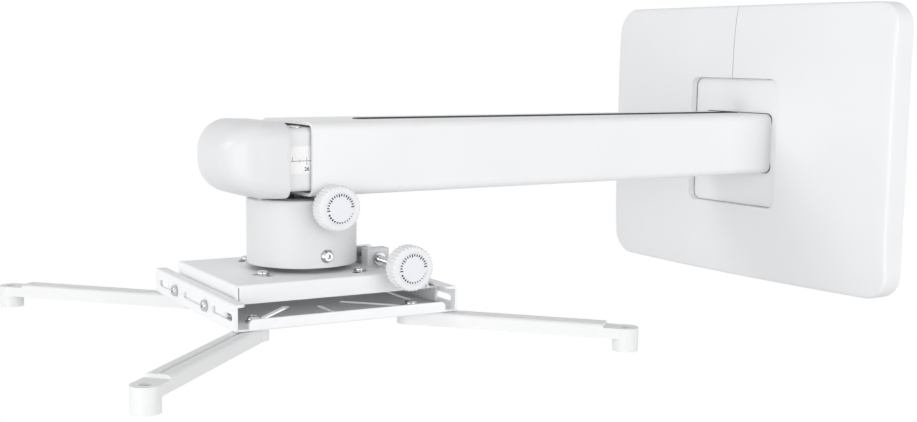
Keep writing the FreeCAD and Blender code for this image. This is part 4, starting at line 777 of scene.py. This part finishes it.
# %% [markdown]
# ## Screws with a cross recess
# The heads on the plate, the rails and the legs are domed and bright. A dome is a height over the radius,
# and the cross recess is a second height that is taken off it: deep near the middle, and zero away from
# the two crossing arms. A polar grid holds both, and the shank below it carries a thread.

# %% Pan heads
RECESS_REACH, RECESS_HALF = 2.7, 0.6
RECESS_WALL, RECESS_END = 0.35, 0.25
PAN_STEPS, PAN_BEVEL = 96, 0.15
DOME_SHARES = np.concatenate([np.linspace(0, 0.62, 15), np.linspace(0.66, 1, 10)])
DOME_POWER = 3.2
SHANK_PITCH, SHANK_DEEP, SHANK_STEPS = 0.8, 0.4, 20


def cross_recess(radius, turn, deep):
    """Depth of a cross: full inside an arm's width, zero outside, with soft walls and a sloping floor."""
    x, y = np.abs(radius * np.cos(turn)), np.abs(radius * np.sin(turn))
    wall = np.clip((RECESS_HALF - np.minimum(x, y)) / (RECESS_WALL * RECESS_HALF) + 0.5, 0, 1)
    end = np.clip((RECESS_REACH - np.maximum(x, y)) / (RECESS_END * RECESS_REACH), 0, 1)
    return deep * wall * end


def pan_grid(head, high, rim, shank, deep, long):
    """Head = rim + dome x root of (1 - share to a power) - cross recess, and a threaded shank below."""
    turn = full_turn(PAN_STEPS)
    radius = DOME_SHARES * head
    dome = rim + (high - rim) * np.sqrt(np.clip(1 - DOME_SHARES ** DOME_POWER, 0, 1))
    top = dome[:, None] - cross_recess(radius[:, None], turn[None, :], deep)
    face = around(radius[:, None], top, turn)
    seat = np.array(((head, PAN_BEVEL), (head - PAN_BEVEL, 0), (0, 0)))
    wall = around(seat[:, :1], seat[:, 1:], turn)
    thread = thread_grid(shank, long, SHANK_PITCH, SHANK_DEEP, SHANK_STEPS) - np.array((0, 0, long))
    return [np.concatenate([face, wall]), thread]


def screws(name, places, body, stands_for, sizes, long):
    """Screws at places, each a seat point with the direction its head points to."""
    grids = [placed(g, seat, axis) for seat, axis in places for g in pan_grid(**sizes, long=long)]
    piece(name, grids, body, "chrome", [stands_for])


print("rings over a pan head:", len(DOME_SHARES))

# %% Screws of plate, rails and slide
PAN = dict(head=4.8, high=3.6, rim=1.5, shank=2.5, deep=1.9)
CLAMP_PAN = dict(head=4.8, high=2.5, rim=1.0, shank=2.5, deep=1.3)
STOP_PAN = dict(head=4.8, high=1.6, rim=0.5, shank=2.5, deep=0.9)
CLAMP_RING, CLAMP_FIRST, CLAMP_SEAT = 57.0, 30.0, -91.7
RAIL_SCREW_X, RAIL_SEAT, RAIL_SCREW_UP = (-42.0, 31.5), 95.9, -113.5
STOP_X, STOP_Y = (-34.0, 34.0), -555.0

clamp_places = [(NECK_AXIS + CLAMP_RING * np.array((math.cos(turn), math.sin(turn), 0)) + CLAMP_SEAT * UP, UP)
                for turn in np.radians(CLAMP_FIRST + np.arange(4) * 90.0)]
screws("yaw_clamp_pan_screws", clamp_places, "turret_unit", "yaw_clamp_screws", CLAMP_PAN, long=8.1)
rail_places = [(on_head(x, side * RAIL_SEAT, RAIL_SCREW_UP), side * HEAD_Y)
               for side in (-1, 1) for x in RAIL_SCREW_X]
screws("rail_pan_screws", rail_places, "head_unit", "rail_screws", PAN, long=8.6)
stop_places = [(np.array((x, STOP_Y, SLIDE_HALF_Z)), UP) for x in STOP_X]
screws("slide_stop_screws", stop_places, "carriage", "stop_screws", STOP_PAN, long=4.0)

# %% Bolts of the legs
LEG_PAN = dict(head=5.75, high=4.0, rim=1.5, shank=3.0, deep=1.9)
LEG_SEAT, LEG_ANGLE = -120.0, 44.0
LEG_OUT_FRONT, LEG_OUT_BACK = 104.0, 97.0

for name, degrees, out in (("front_right", -LEG_ANGLE, LEG_OUT_FRONT),
                           ("front_left", 180 + LEG_ANGLE, LEG_OUT_FRONT),
                           ("back_right", LEG_ANGLE, LEG_OUT_BACK),
                           ("back_left", 180 - LEG_ANGLE, LEG_OUT_BACK)):
    turn = math.radians(degrees)
    bolt = on_head(out * math.cos(turn), out * math.sin(turn), LEG_SEAT)
    screws(f"leg_bolt_{name}_pan", [(bolt, UP)], f"leg_bolt_{name}_unit", f"leg_bolt_{name}",
           LEG_PAN, long=13.0)

# %% [markdown]
# ## Slot edging, painted as shade
# The cable slot along the arm's top shows as a black line, which is the shade down inside the slot. A
# near-black edging paints that shade. It is a small profile carried along the slot's outline, two
# straight runs and two half circles. The middle stays open for a cable.

# %% Edging of the cable slot, dark as painted shade
SLOT_FRONT, SLOT_BACK = -483.0, -28.0
SLOT_HALF, SLOT_STEPS = 7.0, 24
EDGING, EDGING_FIT = 1.1, 0.02
EDGING_EASED = 0.7 * EDGING
EDGING_INSETS = np.array([EDGING_FIT, EDGING_EASED, EDGING, EDGING, EDGING_EASED, EDGING_FIT, EDGING_FIT])
EDGING_LEVELS = np.array([30.5, 30.8, 30.4, 27.6, 27.35, 27.35, 30.5])


def slot_path():
    """For each point of the slot's outline: the centre of its half circle, and the outward direction."""
    turn = np.linspace(0, np.pi, SLOT_STEPS)
    arc = np.stack([np.cos(turn), np.sin(turn)], axis=1)
    out = np.concatenate([arc, -arc, arc[:1]])
    back, front = SLOT_BACK - SLOT_HALF, SLOT_FRONT + SLOT_HALF
    middle = np.concatenate([np.full(SLOT_STEPS, back), np.full(SLOT_STEPS, front), [back]])
    return np.stack([np.zeros_like(middle), middle], axis=1), out


def edging_grid():
    """Point = centre + outward direction x (slot's half width - inset), at the inset's level."""
    middle, out = slot_path()
    ring = middle[None] + out[None] * (SLOT_HALF - EDGING_INSETS)[:, None, None]
    level = np.broadcast_to(EDGING_LEVELS[:, None, None], (*ring.shape[:2], 1))
    return np.concatenate([ring, level], axis=-1)


# Near-black as painted shade: the slot's edging stands for the shade down the slot, the arm's seam for the
# shadow in its gap.
painted_shade_rubber = coated("painted_shade_rubber", (0.02, 0.02, 0.022), 0.55, 900, 0.02 * MM)
# The edging is drawn dark as painted shade, the shade inside the open slot.
piece("cable_slot_shade_edging", [edging_grid()], "wall_mount", "glide_plastic", material=painted_shade_rubber)

# %% [markdown]
# ## The seam at the wall
# ## Painted shadow at the wall seam
# Where the arm meets its base, a thin dark seam shows along the arm's top and round its corners: the
# shadow in the small gap there. A dark strip paints that shadow, a small square profile carried round the
# arm's outline. A share that depends on the level makes it thin in the middle of the sides.

# %% Painted shadow round the arm's seam
ARM_HALF = np.array((47.5, 30.0))
ARM_CORNER = 7.0
BASE_FACE = -25.0
SEAM_SHADE_OUT, SEAM_SHADE_THICK = 0.7, 0.9
SEAM_SHADE_FROM, SEAM_SHADE_FULL = 18.0, 27.0
SEAM_SHADE_LEAST = 0.06
SEAM_SHADE_SINK = 0.02
SEAM_SHADE_PROFILE = ((0, 0), (1, 0), (1, 1), (0, 1), (0, 0))
ARM_CORNER_STEPS, ARM_RUN_STEPS = 10, 12


def arm_outline():
    """Points round the arm's rounded section, with the outward direction at each, back to the first one."""
    swing = quarter_turn(ARM_CORNER_STEPS)
    arc = np.stack([np.cos(swing), np.sin(swing)], axis=1)
    runs = np.linspace(1, -1, ARM_RUN_STEPS)[1:-1]
    core = ARM_HALF - ARM_CORNER
    corner = arc * ARM_CORNER + core
    top = np.stack([core[0] * runs, np.full(len(runs), ARM_HALF[1])], axis=1)
    left = np.stack([np.full(len(runs), -ARM_HALF[0]), core[1] * runs], axis=1)
    upper = np.concatenate([corner, top, corner[::-1] * (-1, 1)])
    half_out = np.concatenate([arc, np.tile((0.0, 1.0), (len(runs), 1)), arc[::-1] * (-1, 1)])
    points = np.concatenate([upper, left, -upper, -left, upper[:1]])
    side = np.tile((-1.0, 0.0), (len(runs), 1))
    return points, np.concatenate([half_out, side, -half_out, -side, half_out[:1]])


def seam_shade_grid():
    """Profile corner = outline + outward x height x share, at depth = base face - thickness x share."""
    points, out = arm_outline()
    share = np.clip((np.abs(points[:, 1]) - SEAM_SHADE_FROM) / (SEAM_SHADE_FULL - SEAM_SHADE_FROM), SEAM_SHADE_LEAST, 1)
    rows = []
    for high, thick in SEAM_SHADE_PROFILE:
        flat = points + out * (SEAM_SHADE_OUT * high * share - SEAM_SHADE_SINK)[:, None]
        deep = BASE_FACE + SEAM_SHADE_SINK - SEAM_SHADE_THICK * thick * share
        rows.append(np.stack([flat[:, 0], deep, flat[:, 1]], axis=1))
    return np.stack(rows)


# A dark strip round the arm's end: painted shadow of the gap where the arm meets its base.
piece("arm_seam_shade", [seam_shade_grid()], "wall_mount", "glide_plastic", material=painted_shade_rubber)

# %% [markdown]
# ## The printed scale
# A label on the slide shows how far the arm is out. Its print is a long line with ticks across it and
# plain numbers below. Ticks are thin slabs, and the numbers are text that is made a mesh before it is put
# in place.

# %% Scale marks
LABEL_FACE = 43.3
LABEL_FRONT = -565.0
LABEL_LONG = 300.0
LABEL_MARGIN = 0.5
TICK_STEP = 6.35
FIRST_TICK = 3.2
TICK_UP, TICK_DOWN = np.array([3.4, 1.3, 3.4, 1.3]), np.array([0.0, 1.3, 3.4, 1.3])
LINE_LEVEL, LINE_HALF, TICK_HALF = -0.7, 0.18, 0.15


def label_slab(start, end, low, high):
    """A flat mark on the label between two places along the arm and two levels."""
    outline = np.array([(start, low), (end, low), (end, high), (start, high)])
    flat = slab_grid(outline, 0.0)
    return np.stack([flat[..., 2] + LABEL_FACE - PRINT_SINK, flat[..., 0], flat[..., 1]], axis=-1)


tick_count = int((LABEL_LONG - 2 * FIRST_TICK) / TICK_STEP) + 1
tick_at = LABEL_FRONT + FIRST_TICK + np.arange(tick_count) * TICK_STEP
tick_kind = np.arange(tick_count) % len(TICK_UP)
marks = [label_slab(LABEL_FRONT + LABEL_MARGIN, LABEL_FRONT + LABEL_LONG - LABEL_MARGIN,
                    LINE_LEVEL - LINE_HALF, LINE_LEVEL + LINE_HALF)]
marks += [label_slab(place - TICK_HALF, place + TICK_HALF, LINE_LEVEL - down, LINE_LEVEL + up)
          for place, up, down in zip(tick_at, TICK_UP[tick_kind], TICK_DOWN[tick_kind])]
piece("scale_marks", marks, "carriage", "glide_plastic", material=ink)

# %% Scale numbers
FIRST_NUMBER = 26
NUMBER_LEVEL = -8.6
NUMBER_HIGH, NUMBER_BOLD = 4.3, 0.07


def number_mesh(text, place):
    """A number as a flat mesh on the label, upright, read along +Y."""
    curve = bpy.data.curves.new(f"number_{text}", "FONT")
    curve.body = text
    curve.size = NUMBER_HIGH
    curve.offset = NUMBER_BOLD
    curve.align_x = "CENTER"
    holder = bpy.data.objects.new(f"number_{text}", curve)
    bpy.context.scene.collection.objects.link(holder)
    bpy.context.view_layer.update()
    mesh = bpy.data.meshes.new_from_object(holder.evaluated_get(bpy.context.evaluated_depsgraph_get()))
    bpy.data.objects.remove(holder)
    points = np.empty(len(mesh.vertices) * 3)
    mesh.vertices.foreach_get("co", points)
    points = points.reshape(-1, 3)
    moved = np.stack([np.full(len(points), LABEL_FACE + PRINT_THICK - PRINT_SINK), points[:, 0] + place,
                      points[:, 1] + NUMBER_LEVEL], axis=1) * MM
    mesh.vertices.foreach_set("co", moved.ravel())
    return mesh


number_places = tick_at[2::len(TICK_UP)]
joined = bmesh.new()
for count, place in enumerate(number_places):
    mesh = number_mesh(str(FIRST_NUMBER + count), place)
    joined.from_mesh(mesh)
    bpy.data.meshes.remove(mesh)
digits_mesh = bpy.data.meshes.new("scale_numbers")
joined.to_mesh(digits_mesh)
joined.free()
digits_mesh.materials.append(ink)
digits = bpy.data.objects.new("scale_numbers", digits_mesh)
bpy.context.scene.collection.objects.link(digits)
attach(digits, "carriage")
print("scale numbers:", len(number_places))
